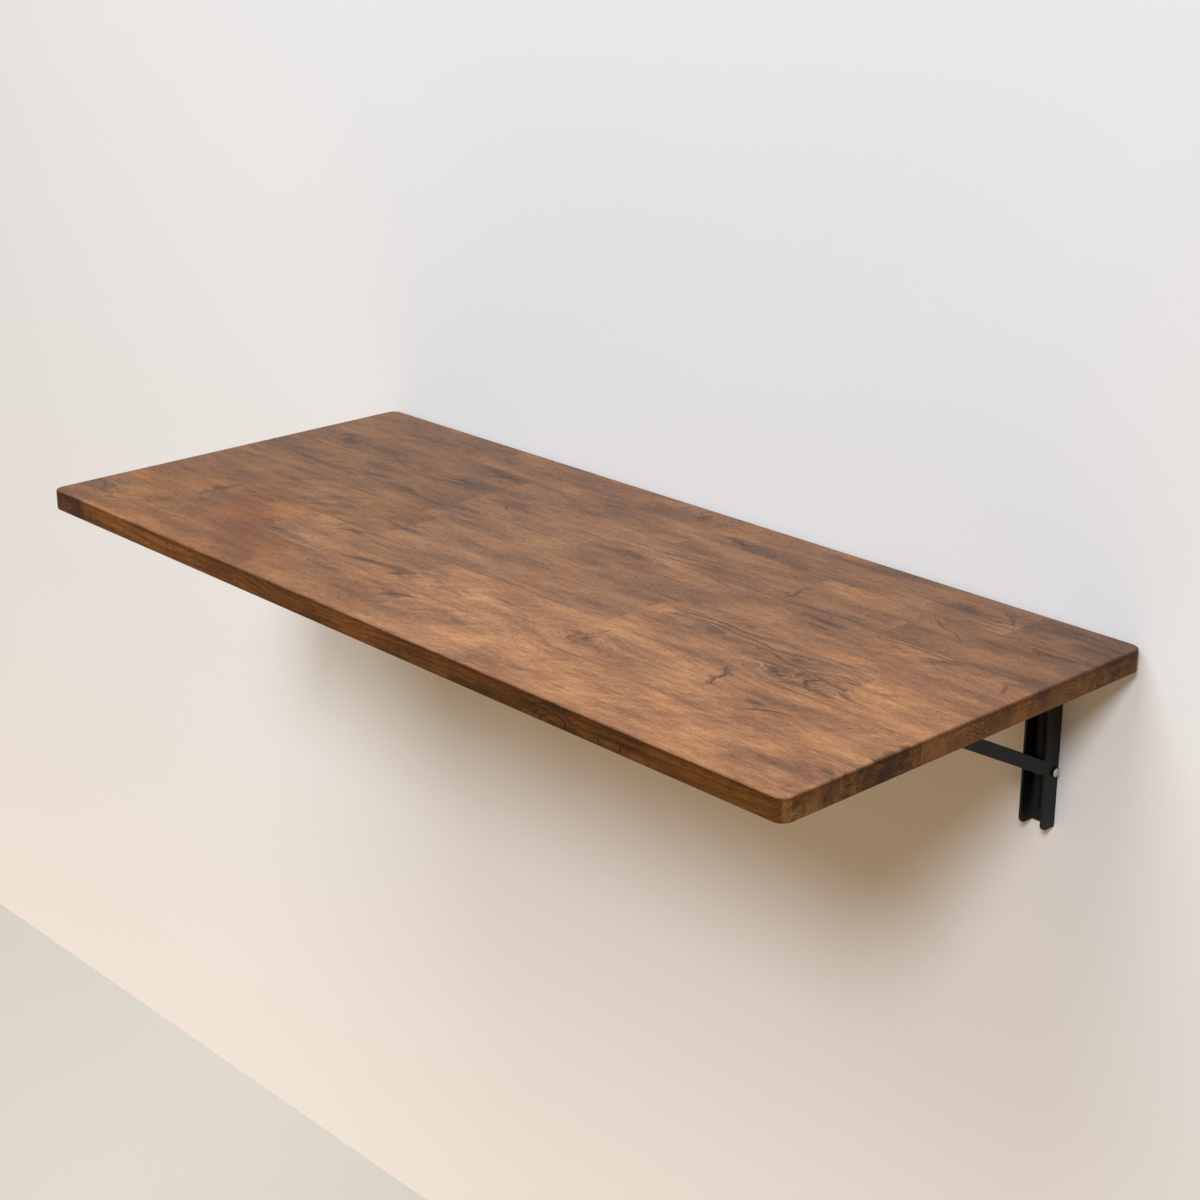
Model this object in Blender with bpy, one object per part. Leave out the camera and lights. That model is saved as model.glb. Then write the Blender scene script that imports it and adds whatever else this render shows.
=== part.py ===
"""Wall mounted folding workbench: a hardwood worktop on two folding wall brackets.

Metres, +Z up. The wall is the plane Y = 0 and +Y goes into it. The origin lies on the wall,
half way along the worktop and level with its top face. +X is to the right.
"""

from math import acos, atan2, ceil, cos, hypot, pi, radians, sin, tan

import bmesh
import bpy
import numpy as np
from mathutils import Matrix, Vector

# Worktop
TOP_LENGTH = 0.914
TOP_DEPTH = 0.398
TOP_THICK = 0.019
TOP_CORNER_R = 0.010
TOP_EASE = 0.0018
TOP_WALL_GAP = 0.003

# Places of the brackets, and their sheet steel
BRACKET_INSET = 0.0815
SHEET = 0.002
SEAT_GAP = 0.0003
PIN_GAP = 0.0003

# Wall plate: a channel with its web on the wall
PLATE_WIDTH = 0.0228
PLATE_DEPTH = 0.0178
PLATE_ABOVE_PIVOT = 0.012
PLATE_BELOW_BRACE_PIVOT = 0.0508
PLATE_TOP_R = 0.005
PLATE_FOOT_R = 0.006
PLATE_HOLE_R = 0.0026
UPPER_SCREW_DROP = 0.025
SPARE_HOLE_DROP = 0.0605
LOWER_SCREW_RISE = 0.0146

# Pivots on the wall plate
PIVOT_OUT = 0.009
FOLD_PIVOT_DROP = 0.018
PIVOT_SPACING = 0.0868

# Brace: a strut from the lower pivot up to the slide pin
BRACE_SLOPE = radians(27.6)
BRACE_WIDTH = 0.011
BRACE_SIDE_GAP = 0.0004
BRACE_WEB_PAST_PLATE = 0.007
BRACE_WEB_SHORT_OF_PIN = 0.022
SLIDE_PIN_R = 0.003

# Arm: a channel under the worktop
ARM_LENGTH = 0.305
ARM_SIDE_GAP = 0.0005
ARM_DROP = 0.0075
ARM_NOSE_R = 0.012
SLOT_PLAY = 0.0003
RELIEF_PLAY = 0.0013

# Rivets, washers and bushes
FOLD_RIVET_R = 0.0032
FOLD_RIVET_HEAD_R = 0.005
FOLD_RIVET_HEAD = 0.0018
FOLD_BUSH_R = 0.006
BRACE_RIVET_R = 0.0025
BRACE_RIVET_HEAD_R = 0.0036
BRACE_RIVET_HEAD = 0.0017
BRACE_WASHER_R = 0.0046
BRACE_WASHER = 0.0009

# Release lever inside the arm
LEVER_PIVOT_AHEAD = 0.070
LEVER_PIVOT_RISE = 0.0105
LEVER_PIN_R = 0.002
LEVER_PIN_HEAD_R = 0.0033
LEVER_PIN_HEAD = 0.0012
LEVER_SHEET = 0.0015
LEVER_WIDTH = 0.013
LEVER_WEB_BELOW = 0.0043
LEVER_BACK_TOP = -0.0003
LEVER_BOSS_TOP = 0.0032
LEVER_BOSS_HALF = 0.007
HOOK_BELOW_PIN = 0.0012
HOOK_LENGTH = 0.006
HOOK_PLAY = 0.0004
STOP_EAR_AHEAD = 0.043
STOP_EAR_LENGTH = 0.007
TAB_PAST_ARM = 0.021
TAB_R = 0.008
TAB_DROP = 0.0005

# Torsion spring on the lever pin
SPRING_WIRE_R = 0.00045
SPRING_MEAN_R = 0.003
SPRING_PITCH = 0.00136
SPRING_TURNS = 4
SPRING_LEG = 0.014
SPRING_LEG_REST = 0.0035
SPRING_POINTS_PER_TURN = 10
SPRING_WINDOW_PLAY = 0.0012
LEAST_WIRE_GAP = 0.0004

# Screws: shank radius, head radius, head height, length under the head
WALL_SCREW = (0.00225, 0.0043, 0.0028, 0.046)
ARM_SCREW = (0.00175, 0.0034, 0.0022, 0.0155)
ARM_SCREW_INLET = 0.030
ARM_SCREW_MIDDLE = 0.118
ARM_SCREW_END_MARGIN = 0.013
ARM_SCREW_SPREAD = 0.0103
SCREW_TIP_SHARE = 0.22

# Rounding of the mesh
ARC_STEPS = 5
HOLE_SIDES = 16
TURNED_SIDES = 16

# Worked out from the sizes above, in the frame of the whole part
BRACKET_X = TOP_LENGTH / 2 - BRACKET_INSET
FOLD_PIVOT_Z = -TOP_THICK - FOLD_PIVOT_DROP
BRACE_PIVOT_Z = FOLD_PIVOT_Z - PIVOT_SPACING
PLATE_HALF = PLATE_WIDTH / 2
BRACE_INNER = PLATE_HALF + BRACE_SIDE_GAP
BRACE_OUTER = BRACE_INNER + SHEET
ARM_INNER = BRACE_OUTER + ARM_SIDE_GAP
ARM_OUTER = ARM_INNER + SHEET
ARM_TOP = FOLD_PIVOT_DROP - SEAT_GAP
ARM_WEB_UNDER = ARM_TOP - SHEET
ARM_FRONT = ARM_LENGTH - ARM_DROP
BRACE_LENGTH = PIVOT_SPACING / sin(BRACE_SLOPE)
PIN_OPEN = PIVOT_SPACING / tan(BRACE_SLOPE)
PIN_FOLDED = PIVOT_SPACING + BRACE_LENGTH
WASHER_FACE = BRACE_OUTER + SEAT_GAP
RIVET_HEAD_FACE = WASHER_FACE + BRACE_WASHER + SEAT_GAP
LEVER_HALF = LEVER_WIDTH / 2
LEVER_PIVOT_S = PIN_OPEN + LEVER_PIVOT_AHEAD
LEVER_HOOK_BACK = SLIDE_PIN_R + HOOK_PLAY - LEVER_PIVOT_AHEAD
LEVER_STOP_TOP = ARM_WEB_UNDER - SEAT_GAP - LEVER_PIVOT_RISE
ARM_SCREW_FRONT = ARM_FRONT - ARM_SCREW_END_MARGIN

COLOURS = {
    "walnut_wood": ((0.135, 0.062, 0.034), 0.45, 0.0),
    "black_coat": ((0.020, 0.020, 0.022), 0.50, 0.0),
    "bare_steel": ((0.56, 0.55, 0.53), 0.35, 1.0),
    "black_screw": ((0.030, 0.030, 0.032), 0.40, 1.0),
    "zinc_screw": ((0.50, 0.49, 0.46), 0.40, 1.0),
    "white_nylon": ((0.62, 0.61, 0.58), 0.55, 0.0),
    "spring_steel": ((0.36, 0.36, 0.37), 0.35, 1.0),
}


def clear_scene():
    for obj in list(bpy.data.objects):
        bpy.data.objects.remove(obj, do_unlink=True)


def material(name):
    """The named finish, made once."""
    found = bpy.data.materials.get(name)
    if found:
        return found
    colour, roughness, metallic = COLOURS[name]
    made = bpy.data.materials.new(name)
    made.use_nodes = True
    shader = made.node_tree.nodes["Principled BSDF"]
    shader.inputs["Base Color"].default_value = (*colour, 1.0)
    shader.inputs["Roughness"].default_value = roughness
    shader.inputs["Metallic"].default_value = metallic
    return made


def empty(name, place, turn=0.0):
    """An empty on a joint's axis, turned about X."""
    obj = bpy.data.objects.new(name, None)
    bpy.context.collection.objects.link(obj)
    obj.location = place
    obj.rotation_euler = (turn, 0.0, 0.0)
    return obj


def add(name, mesh, finish, parent=None, place=(0.0, 0.0, 0.0)):
    """One sub-part with its own material, round faces smooth."""
    mesh.materials.clear()
    mesh.materials.append(material(finish))
    mesh.shade_smooth()
    mesh.set_sharp_from_angle(angle=radians(30))
    obj = bpy.data.objects.new(name, mesh)
    bpy.context.collection.objects.link(obj)
    obj.parent = parent
    obj.location = place
    return obj


def finished(bm, name):
    """A mesh from a bmesh, faces pointing out."""
    bmesh.ops.remove_doubles(bm, verts=bm.verts, dist=1e-7)
    bmesh.ops.recalc_face_normals(bm, faces=bm.faces)
    mesh = bpy.data.meshes.new(name)
    bm.to_mesh(mesh)
    bm.free()
    return mesh


def prism(outline, axis, low, high):
    """An outline extruded along X, Y or Z. Its points are the other two coordinates in order."""
    order = {"x": (2, 0, 1), "y": (0, 2, 1), "z": (0, 1, 2)}[axis]
    bm = bmesh.new()
    base = []
    for u, v in outline:
        base.append(bm.verts.new([(u, v, low)[k] for k in order]))
    face = bm.faces.new(base)
    swept = bmesh.ops.extrude_face_region(bm, geom=[face])["geom"]
    step = [(0.0, 0.0, high - low)[k] for k in order]
    moved = [item for item in swept if isinstance(item, bmesh.types.BMVert)]
    bmesh.ops.translate(bm, verts=moved, vec=step)
    return finished(bm, "prism")


def turned(profile, name):
    """A profile of (radius, along) points turned about the X axis: closed, or with both ends on the axis."""
    bm = bmesh.new()
    verts = [bm.verts.new((along, radius, 0.0)) for radius, along in profile]
    edges = [bm.edges.new(pair) for pair in zip(verts, verts[1:])]
    if profile[0][0] > 0.0:
        edges.append(bm.edges.new((verts[-1], verts[0])))
    bmesh.ops.spin(bm, geom=verts + edges, cent=(0, 0, 0), axis=(1, 0, 0), angle=2 * pi,
                   steps=TURNED_SIDES, use_merge=True)
    return finished(bm, name)


def boolean(mesh, other, operation):
    """The first mesh cut, crossed or joined by the second, which is used up."""
    body = bpy.data.objects.new("body", mesh)
    tool = bpy.data.objects.new("tool", other)
    for obj in (body, tool):
        bpy.context.collection.objects.link(obj)
    step = body.modifiers.new(operation, "BOOLEAN")
    step.operation = operation
    step.object = tool
    graph = bpy.context.evaluated_depsgraph_get()
    made = bpy.data.meshes.new_from_object(body.evaluated_get(graph), depsgraph=graph)
    for obj in (body, tool):
        bpy.data.objects.remove(obj)
    for old in (mesh, other):
        bpy.data.meshes.remove(old)
    return made


def cut(mesh, *tools):
    for tool in tools:
        mesh = boolean(mesh, tool, "DIFFERENCE")
    return mesh


def circle(centre, radius, sides=HOLE_SIDES):
    turns = [2 * pi * (k + 0.5) / sides for k in range(sides)]
    return [(centre[0] + radius * cos(a), centre[1] + radius * sin(a)) for a in turns]


def arc(centre, radius, start, end, steps=ARC_STEPS):
    """Points on an arc, both ends included, angles in degrees."""
    turns = [radians(start + (end - start) * k / steps) for k in range(steps + 1)]
    return [(centre[0] + radius * cos(a), centre[1] + radius * sin(a)) for a in turns]


def rounded_box(u0, u1, v0, v1, radii):
    """A rectangle, its corner radii given from (u0, v0) round by (u1, v0)."""
    corners = ((u0, v0, 1, 1, 180), (u1, v0, -1, 1, 270), (u1, v1, -1, -1, 0), (u0, v1, 1, -1, 90))
    points = []
    for (u, v, du, dv, start), r in zip(corners, radii):
        if r == 0.0:
            points.append((u, v))
        else:
            points += arc((u + du * r, v + dv * r), r, start, start + 90)
    return points


def slot(u0, u1, v, radius):
    """A level slot with round ends centred at u0 and u1."""
    half = HOLE_SIDES // 2
    return arc((u0, v), radius, 90, 270, half) + arc((u1, v), radius, -90, 90, half)


def channel_section(inner, outer, web_low, web_high, edge):
    """Half-open section of a channel in (x, z): its web lies between two heights, its flanges end at edge."""
    inside, outside = (web_low, web_high) if edge < web_low else (web_high, web_low)
    return [(-outer, edge), (-inner, edge), (-inner, inside), (inner, inside),
            (inner, edge), (outer, edge), (outer, outside), (-outer, outside)]


def through(outline, reach):
    """A cutter that goes through both flanges of a channel."""
    return prism(outline, "x", -reach, reach)


def bench_top_mesh():
    """The worktop in the fold axis's frame, with a blind hole for each arm screw."""
    back = PIVOT_OUT - TOP_WALL_GAP
    under = FOLD_PIVOT_DROP
    plan = rounded_box(-TOP_LENGTH / 2, TOP_LENGTH / 2, back - TOP_DEPTH, back, [TOP_CORNER_R] * 4)
    mesh = prism(plan, "z", under, under + TOP_THICK)
    bm = bmesh.new()
    bm.from_mesh(mesh)
    bpy.data.meshes.remove(mesh)
    rim = [e for e in bm.edges if abs(e.verts[0].co.z - e.verts[1].co.z) < TOP_THICK / 2]
    bmesh.ops.bevel(bm, geom=rim, offset=TOP_EASE, segments=2, profile=0.5, affect="EDGES")
    mesh = finished(bm, "bench_top")
    shank, _, _, length = ARM_SCREW
    tip = ARM_WEB_UNDER - SEAT_GAP + length
    for side in (-1, 1):
        for x, s in arm_screw_places():
            centre = (side * BRACKET_X + x, -s)
            hole = prism(circle(centre, shank + PIN_GAP), "z", under - SHEET, tip + SEAT_GAP)
            mesh = cut(mesh, hole)
    return mesh


def arm_screw_places():
    """Each screw's offset across the arm and its distance from the fold axis."""
    return ((0.0, ARM_SCREW_INLET), (0.0, ARM_SCREW_MIDDLE),
            (-ARM_SCREW_SPREAD, ARM_SCREW_FRONT), (ARM_SCREW_SPREAD, ARM_SCREW_FRONT))


def wall_plate_mesh():
    """The wall plate, upright at the wall, with its heights measured from the fold pivot."""
    top = PLATE_ABOVE_PIVOT
    foot = -PIVOT_SPACING - PLATE_BELOW_BRACE_PIVOT
    inner = PLATE_HALF - SHEET
    section = [(-PLATE_HALF, 0.0), (PLATE_HALF, 0.0), (PLATE_HALF, -PLATE_DEPTH),
               (inner, -PLATE_DEPTH), (inner, -SHEET), (-inner, -SHEET),
               (-inner, -PLATE_DEPTH), (-PLATE_HALF, -PLATE_DEPTH)]
    mesh = prism(section, "z", foot, top)
    rounds = []
    for z, away, r in ((top, -1, PLATE_TOP_R), (foot, 1, PLATE_FOOT_R)):
        rounds.append(through(corner_waste(-PLATE_DEPTH, z, r, away), PLATE_WIDTH))
    pivots = [through(circle((-PIVOT_OUT, z), r + PIN_GAP), PLATE_WIDTH)
              for z, r in ((0.0, FOLD_RIVET_R), (-PIVOT_SPACING, BRACE_RIVET_R))]
    screws = [prism(circle((0.0, z), PLATE_HOLE_R), "y", -2 * SHEET, SHEET) for z in plate_hole_heights()]
    return cut(mesh, *rounds, *pivots, *screws)


def corner_waste(u, v, radius, away):
    """What a rounded corner at (u, v) takes off: the corner points to lower u, the arc towards away."""
    spare = SHEET
    centre = (u + radius, v + away * radius)
    ends = (180, 90) if away < 0 else (180, 270)
    curve = arc(centre, radius, *ends)
    beyond = v - away * spare
    return curve + [(u + radius, beyond), (u - spare, beyond), (u - spare, v + away * radius)]


def plate_hole_heights():
    """Upper screw, spare hole and lower screw, measured from the fold pivot."""
    foot = -PIVOT_SPACING - PLATE_BELOW_BRACE_PIVOT
    return (-UPPER_SCREW_DROP, -SPARE_HOLE_DROP, foot + LOWER_SCREW_RISE)


def arm_mesh():
    """The arm in the fold axis's frame: web on top, slots for the slide pin, relief for the lower rivet."""
    front = -ARM_FRONT
    section = channel_section(ARM_INNER, ARM_OUTER, ARM_WEB_UNDER, ARM_TOP, -ARM_DROP)
    mesh = prism(section, "y", front, ARM_DROP)
    nose = corner_waste(front, -ARM_DROP, ARM_NOSE_R, 1)
    heel = [(-u, v) for u, v in corner_waste(-ARM_DROP, -ARM_DROP, ARM_DROP, 1)]
    pin_slot = slot(-PIN_FOLDED, -PIN_OPEN, 0.0, SLIDE_PIN_R + SLOT_PLAY)
    relief_r = BRACE_WASHER_R + RELIEF_PLAY
    relief = arc((-PIVOT_SPACING, 0.0), relief_r, 0, 180, HOLE_SIDES // 2)
    relief += [(-PIVOT_SPACING - relief_r, -ARM_DROP - SHEET), (-PIVOT_SPACING + relief_r, -ARM_DROP - SHEET)]
    pivot = circle((0.0, 0.0), FOLD_RIVET_R + PIN_GAP)
    lever_hole = circle((-LEVER_PIVOT_S, LEVER_PIVOT_RISE), LEVER_PIN_R + PIN_GAP)
    sides = [through(outline, 2 * ARM_OUTER) for outline in (nose, heel, pin_slot, relief, pivot, lever_hole)]
    screws = [prism(circle((x, -s), ARM_SCREW[0] + PIN_GAP), "z", ARM_WEB_UNDER - SHEET, ARM_TOP + SHEET)
              for x, s in arm_screw_places()]
    return cut(mesh, *sides, *screws)


def brace_mesh():
    """The brace along -Y from its lower pivot: two sides, joined by a web on its under side."""
    half = BRACE_WIDTH / 2
    far = -BRACE_LENGTH
    section = channel_section(BRACE_INNER, BRACE_OUTER, -BRACE_WIDTH, -half + SHEET, BRACE_WIDTH)
    mesh = prism(section, "y", far - BRACE_WIDTH, BRACE_WIDTH)
    side = arc((0.0, 0.0), half, -90, 90, HOLE_SIDES // 2) + arc((far, 0.0), half, 90, 270, HOLE_SIDES // 2)
    web_foot = -(hypot(PLATE_BELOW_BRACE_PIVOT, PIVOT_OUT) + BRACE_WEB_PAST_PLATE)
    web_head = far + BRACE_WEB_SHORT_OF_PIN
    inner = BRACE_INNER
    gaps = [prism(rounded_box(-inner, inner, y0, y1, (0.0,) * 4), "z", -BRACE_WIDTH, BRACE_WIDTH)
            for y0, y1 in ((far - 2 * BRACE_WIDTH, web_head), (web_foot, 2 * BRACE_WIDTH))]
    holes = [through(circle((y, 0.0), r + PIN_GAP), 2 * BRACE_OUTER)
             for y, r in ((0.0, BRACE_RIVET_R), (far, SLIDE_PIN_R))]
    return cut(boolean(mesh, through(side, 2 * BRACE_OUTER), "INTERSECT"), *gaps, *holes)


def lever_mesh():
    """The release lever in its pivot's frame: two hooked sides on a web, and a pull tab in front."""
    low = -LEVER_WEB_BELOW
    back = -LEVER_HOOK_BACK
    hook_tip = -LEVER_PIVOT_RISE - HOOK_BELOW_PIN
    hook_front = back - HOOK_LENGTH
    end = -(ARM_FRONT - LEVER_PIVOT_S)
    ear = -STOP_EAR_AHEAD
    boss = LEVER_BOSS_HALF
    side = [(back, hook_tip), (back, LEVER_BACK_TOP), (2 * boss, LEVER_BACK_TOP), (boss, LEVER_BOSS_TOP),
            (ear, LEVER_BOSS_TOP), (ear, LEVER_STOP_TOP), (ear - STOP_EAR_LENGTH, LEVER_STOP_TOP),
            (end, low + LEVER_SHEET), (end, low), (hook_front, low), (hook_front, hook_tip)]
    inner = LEVER_HALF - LEVER_SHEET
    block = prism(side, "x", -LEVER_HALF, LEVER_HALF)
    trough = prism(rounded_box(-inner, inner, end - LEVER_SHEET, hook_front, (0.0,) * 4), "z",
                   low + LEVER_SHEET, LEVER_PIVOT_RISE)
    gap = prism(rounded_box(-inner, inner, hook_front - LEVER_SHEET, back + LEVER_SHEET, (0.0,) * 4), "z",
                hook_tip - LEVER_SHEET, LEVER_PIVOT_RISE)
    tab = prism(tab_outline(end, low), "x", -LEVER_HALF, LEVER_HALF)
    mesh = boolean(cut(block, trough, gap), tab, "UNION")
    reach = SPRING_MEAN_R + SPRING_WIRE_R + SPRING_WINDOW_PLAY
    across = spring_length() / 2 + SPRING_WIRE_R + SPRING_WINDOW_PLAY / 2
    window = prism(rounded_box(-across, across, -reach, SPRING_LEG - SPRING_LEG_REST, (0.0,) * 4), "z",
                   low - LEVER_SHEET, 0.0)
    hole = through(circle((0.0, 0.0), LEVER_PIN_R + PIN_GAP), LEVER_WIDTH)
    return cut(mesh, window, hole)


def tab_outline(end, low):
    """Side outline of the tab: it leaves the web level, then bends down beyond the arm's end."""
    overlap = LEVER_SHEET
    bend = end - (TAB_PAST_ARM - TAB_R)
    centre = (bend, low + LEVER_SHEET - TAB_R)
    foot = -LEVER_PIVOT_RISE - TAB_DROP
    outer = arc(centre, TAB_R, 90, 180)
    inner = arc(centre, TAB_R - LEVER_SHEET, 180, 90)
    return ([(end + overlap, low + LEVER_SHEET)] + outer + [(bend - TAB_R, foot)]
            + [(bend - TAB_R + LEVER_SHEET, foot)] + inner + [(end + overlap, low)])


def spring_length():
    return SPRING_PITCH * SPRING_TURNS


def tangent_turn(leg, winding):
    """Angle at which a wire from the leg's end touches the coil, for a winding of +1 or -1."""
    return atan2(leg[1], leg[0]) + winding * acos(SPRING_MEAN_R / hypot(*leg))


def spring_route():
    """Centre line of the torsion spring: back leg on the lever's web, coil, front leg under the arm's web."""
    back = (SPRING_LEG, -LEVER_WEB_BELOW + LEVER_SHEET + 2 * SEAT_GAP + SPRING_WIRE_R)
    front = (-SPRING_LEG, ARM_WEB_UNDER - LEVER_PIVOT_RISE - SEAT_GAP - SPRING_WIRE_R)
    first = tangent_turn(back, -1)
    last = tangent_turn(front, 1)
    while last > first - 2 * pi * (SPRING_TURNS - 1):
        last -= 2 * pi
    count = ceil(SPRING_POINTS_PER_TURN * (first - last) / (2 * pi))
    half = spring_length() / 2
    route = [(-half, *back)]
    for k in range(count + 1):
        angle = first + (last - first) * k / count
        along = -half + 2 * half * k / count
        route.append((along, SPRING_MEAN_R * cos(angle), SPRING_MEAN_R * sin(angle)))
    return route + [(half, *front)]


def least_gap(route, radius):
    """Least clear distance between stretches of a tube that lie more than half a turn apart."""
    dense = []
    for a, b in zip(route, route[1:]):
        dense += [np.array(a) + (np.array(b) - np.array(a)) * k / 8 for k in range(8)]
    points = np.array(dense)
    run = np.concatenate([[0.0], np.cumsum(np.linalg.norm(np.diff(points, axis=0), axis=1))])
    apart = np.linalg.norm(points[:, None] - points[None, :], axis=2)
    far = np.abs(run[:, None] - run[None, :]) > pi * SPRING_MEAN_R
    return apart[far].min() - 2 * radius


def spring_mesh():
    """The spring as one round wire."""
    route = spring_route()
    gap = least_gap(route, SPRING_WIRE_R)
    print(f"lever spring: least gap between turns {gap * 1000:.2f} mm")
    if gap <= LEAST_WIRE_GAP:
        raise ValueError("the spring's turns lie too close")
    curve = bpy.data.curves.new("wire", "CURVE")
    curve.dimensions = "3D"
    curve.bevel_depth = SPRING_WIRE_R
    curve.bevel_resolution = 1
    curve.use_fill_caps = True
    spline = curve.splines.new("POLY")
    spline.points.add(len(route) - 1)
    for point, place in zip(spline.points, route):
        point.co = (*place, 1.0)
    wire = bpy.data.objects.new("wire", curve)
    bpy.context.collection.objects.link(wire)
    graph = bpy.context.evaluated_depsgraph_get()
    made = bpy.data.meshes.new_from_object(wire.evaluated_get(graph), depsgraph=graph)
    bpy.data.objects.remove(wire)
    bm = bmesh.new()
    bm.from_mesh(made)
    bpy.data.meshes.remove(made)
    return finished(bm, "lever_spring")


def rivet_mesh(shank, head_r, head, face, name):
    """A rivet along X with a low domed head beyond face at both ends."""
    crown = [(head_r, face), (head_r, face + 0.5 * head), (0.8 * head_r, face + 0.85 * head),
             (0.45 * head_r, face + head), (0.0, face + head)]
    ends = [(0.0, -face - head)] + [(r, -x) for r, x in reversed(crown[:-1])]
    return turned(ends + [(shank, -face), (shank, face)] + crown, name)


def ring_mesh(inner, outer, low, high, name):
    return turned([(inner, low), (outer, low), (outer, high), (inner, high)], name)


def pin_mesh(radius, half):
    """A plain cross pin with chamfered ends."""
    ease = 0.15 * radius
    profile = [(0.0, -half), (radius - ease, -half), (radius, -half + ease), (radius, half - ease),
               (radius - ease, half), (0.0, half)]
    return turned(profile, "pin")


def screw_mesh(sizes, name):
    """A pan-head wood screw along +X, its head below X = 0 and its shank above, with a cross recess."""
    shank, head_r, head, length = sizes
    tip = SCREW_TIP_SHARE * length
    profile = [(0.0, -head), (0.55 * head_r, -0.97 * head), (0.86 * head_r, -0.75 * head),
               (head_r, -0.3 * head), (head_r, 0.0), (shank, 0.0), (shank, length - tip),
               (0.15 * shank, length), (0.0, length)]
    mesh = turned(profile, name)
    wide, narrow = 0.46 * head_r, 0.11 * head_r
    for half_y, half_z in ((wide, narrow), (narrow, wide)):
        stroke = rounded_box(-half_y, half_y, -half_z, half_z, (0.0,) * 4)
        mesh = cut(mesh, prism(stroke, "x", -2 * head, -0.45 * head))
    return mesh


def aimed(mesh, direction):
    """A piece made along +X, turned to another direction."""
    turn = Vector((1.0, 0.0, 0.0)).rotation_difference(Vector(direction))
    mesh.transform(turn.to_matrix().to_4x4())
    return mesh


def bracket_meshes():
    """Every mesh of one bracket, made once and shared by both sides."""
    return {
        "wall_plate": wall_plate_mesh(),
        "arm": arm_mesh(),
        "brace": brace_mesh(),
        "release_lever": lever_mesh(),
        "lever_spring": spring_mesh(),
        "fold_rivet": rivet_mesh(FOLD_RIVET_R, FOLD_RIVET_HEAD_R, FOLD_RIVET_HEAD,
                                 ARM_OUTER + SEAT_GAP, "fold_rivet"),
        "brace_rivet": rivet_mesh(BRACE_RIVET_R, BRACE_RIVET_HEAD_R, BRACE_RIVET_HEAD,
                                  RIVET_HEAD_FACE, "brace_rivet"),
        "lever_pin": rivet_mesh(LEVER_PIN_R, LEVER_PIN_HEAD_R, LEVER_PIN_HEAD,
                                ARM_OUTER + SEAT_GAP, "lever_pin"),
        "slide_pin": pin_mesh(SLIDE_PIN_R, ARM_INNER - SEAT_GAP),
        "fold_bush": ring_mesh(FOLD_RIVET_R + PIN_GAP, FOLD_BUSH_R,
                               PLATE_HALF + SEAT_GAP, ARM_INNER - SEAT_GAP, "fold_bush"),
        "brace_washer": ring_mesh(BRACE_RIVET_R + PIN_GAP, BRACE_WASHER_R,
                                  WASHER_FACE, WASHER_FACE + BRACE_WASHER, "brace_washer"),
        "wall_screw": aimed(screw_mesh(WALL_SCREW, "wall_screw"), (0.0, 1.0, 0.0)),
        "arm_screw": aimed(screw_mesh(ARM_SCREW, "arm_screw"), (0.0, 0.0, 1.0)),
    }


def add_pair(name, mesh, finish, parent, place):
    """A ring on each side of a pivot, the second one mirrored."""
    other = mesh.copy()
    other.transform(Matrix.Scale(-1.0, 4, (1.0, 0.0, 0.0)))
    other.flip_normals()
    add(f"{name}_inner", other, finish, parent, place)
    add(f"{name}_outer", mesh, finish, parent, place)


def add_bracket(side, x, meshes, fold_axis):
    """One whole bracket at x: the fixed pieces, the arm, the brace and the lever."""
    fold = (x, -PIVOT_OUT, FOLD_PIVOT_Z)
    foot = (x, -PIVOT_OUT, BRACE_PIVOT_Z)
    add(f"wall_plate_{side}", meshes["wall_plate"], "black_coat", None, (x, 0.0, FOLD_PIVOT_Z))
    add(f"fold_rivet_{side}", meshes["fold_rivet"], "bare_steel", None, fold)
    add(f"brace_rivet_{side}", meshes["brace_rivet"], "bare_steel", None, foot)
    add_pair(f"fold_bush_{side}", meshes["fold_bush"].copy(), "white_nylon", None, fold)
    add_pair(f"brace_washer_{side}", meshes["brace_washer"].copy(), "black_coat", None, foot)
    upper, _, lower = plate_hole_heights()
    for place, height in (("upper", upper), ("lower", lower)):
        seat = (x, -SHEET - SEAT_GAP, FOLD_PIVOT_Z + height)
        add(f"wall_screw_{side}_{place}", meshes["wall_screw"], "black_screw", None, seat)

    add(f"arm_{side}", meshes["arm"], "black_coat", fold_axis, (x, 0.0, 0.0))
    for number, (across, s) in enumerate(arm_screw_places(), start=1):
        seat = (x + across, -s, ARM_WEB_UNDER - SEAT_GAP)
        add(f"arm_screw_{side}_{number}", meshes["arm_screw"], "zinc_screw", fold_axis, seat)
    lever_place = (x, -LEVER_PIVOT_S, LEVER_PIVOT_RISE)
    add(f"lever_pin_{side}", meshes["lever_pin"], "bare_steel", fold_axis, lever_place)

    brace_axis = empty(f"brace_axis_{side}", foot, -BRACE_SLOPE)
    add(f"brace_{side}", meshes["brace"], "black_coat", brace_axis)
    add(f"slide_pin_{side}", meshes["slide_pin"], "bare_steel", brace_axis, (0.0, -BRACE_LENGTH, 0.0))

    lever_axis = empty(f"lever_axis_{side}", lever_place)
    lever_axis.parent = fold_axis
    add(f"release_lever_{side}", meshes["release_lever"], "black_coat", lever_axis)
    add(f"lever_spring_{side}", meshes["lever_spring"], "spring_steel", lever_axis)


def main():
    clear_scene()
    fold_axis = empty("fold_axis", (0.0, -PIVOT_OUT, FOLD_PIVOT_Z))
    add("bench_top", bench_top_mesh(), "walnut_wood", fold_axis)
    meshes = bracket_meshes()
    for side, x in (("left", -BRACKET_X), ("right", BRACKET_X)):
        add_bracket(side, x, meshes, fold_axis)


main()
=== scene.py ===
"""Looks of the wall mounted folding workbench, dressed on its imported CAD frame.

Metres, +Z up. The wall is the plane Y = 0, the worktop's top face is Z = 0 and X runs along it.
"""
import math
import random

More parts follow.
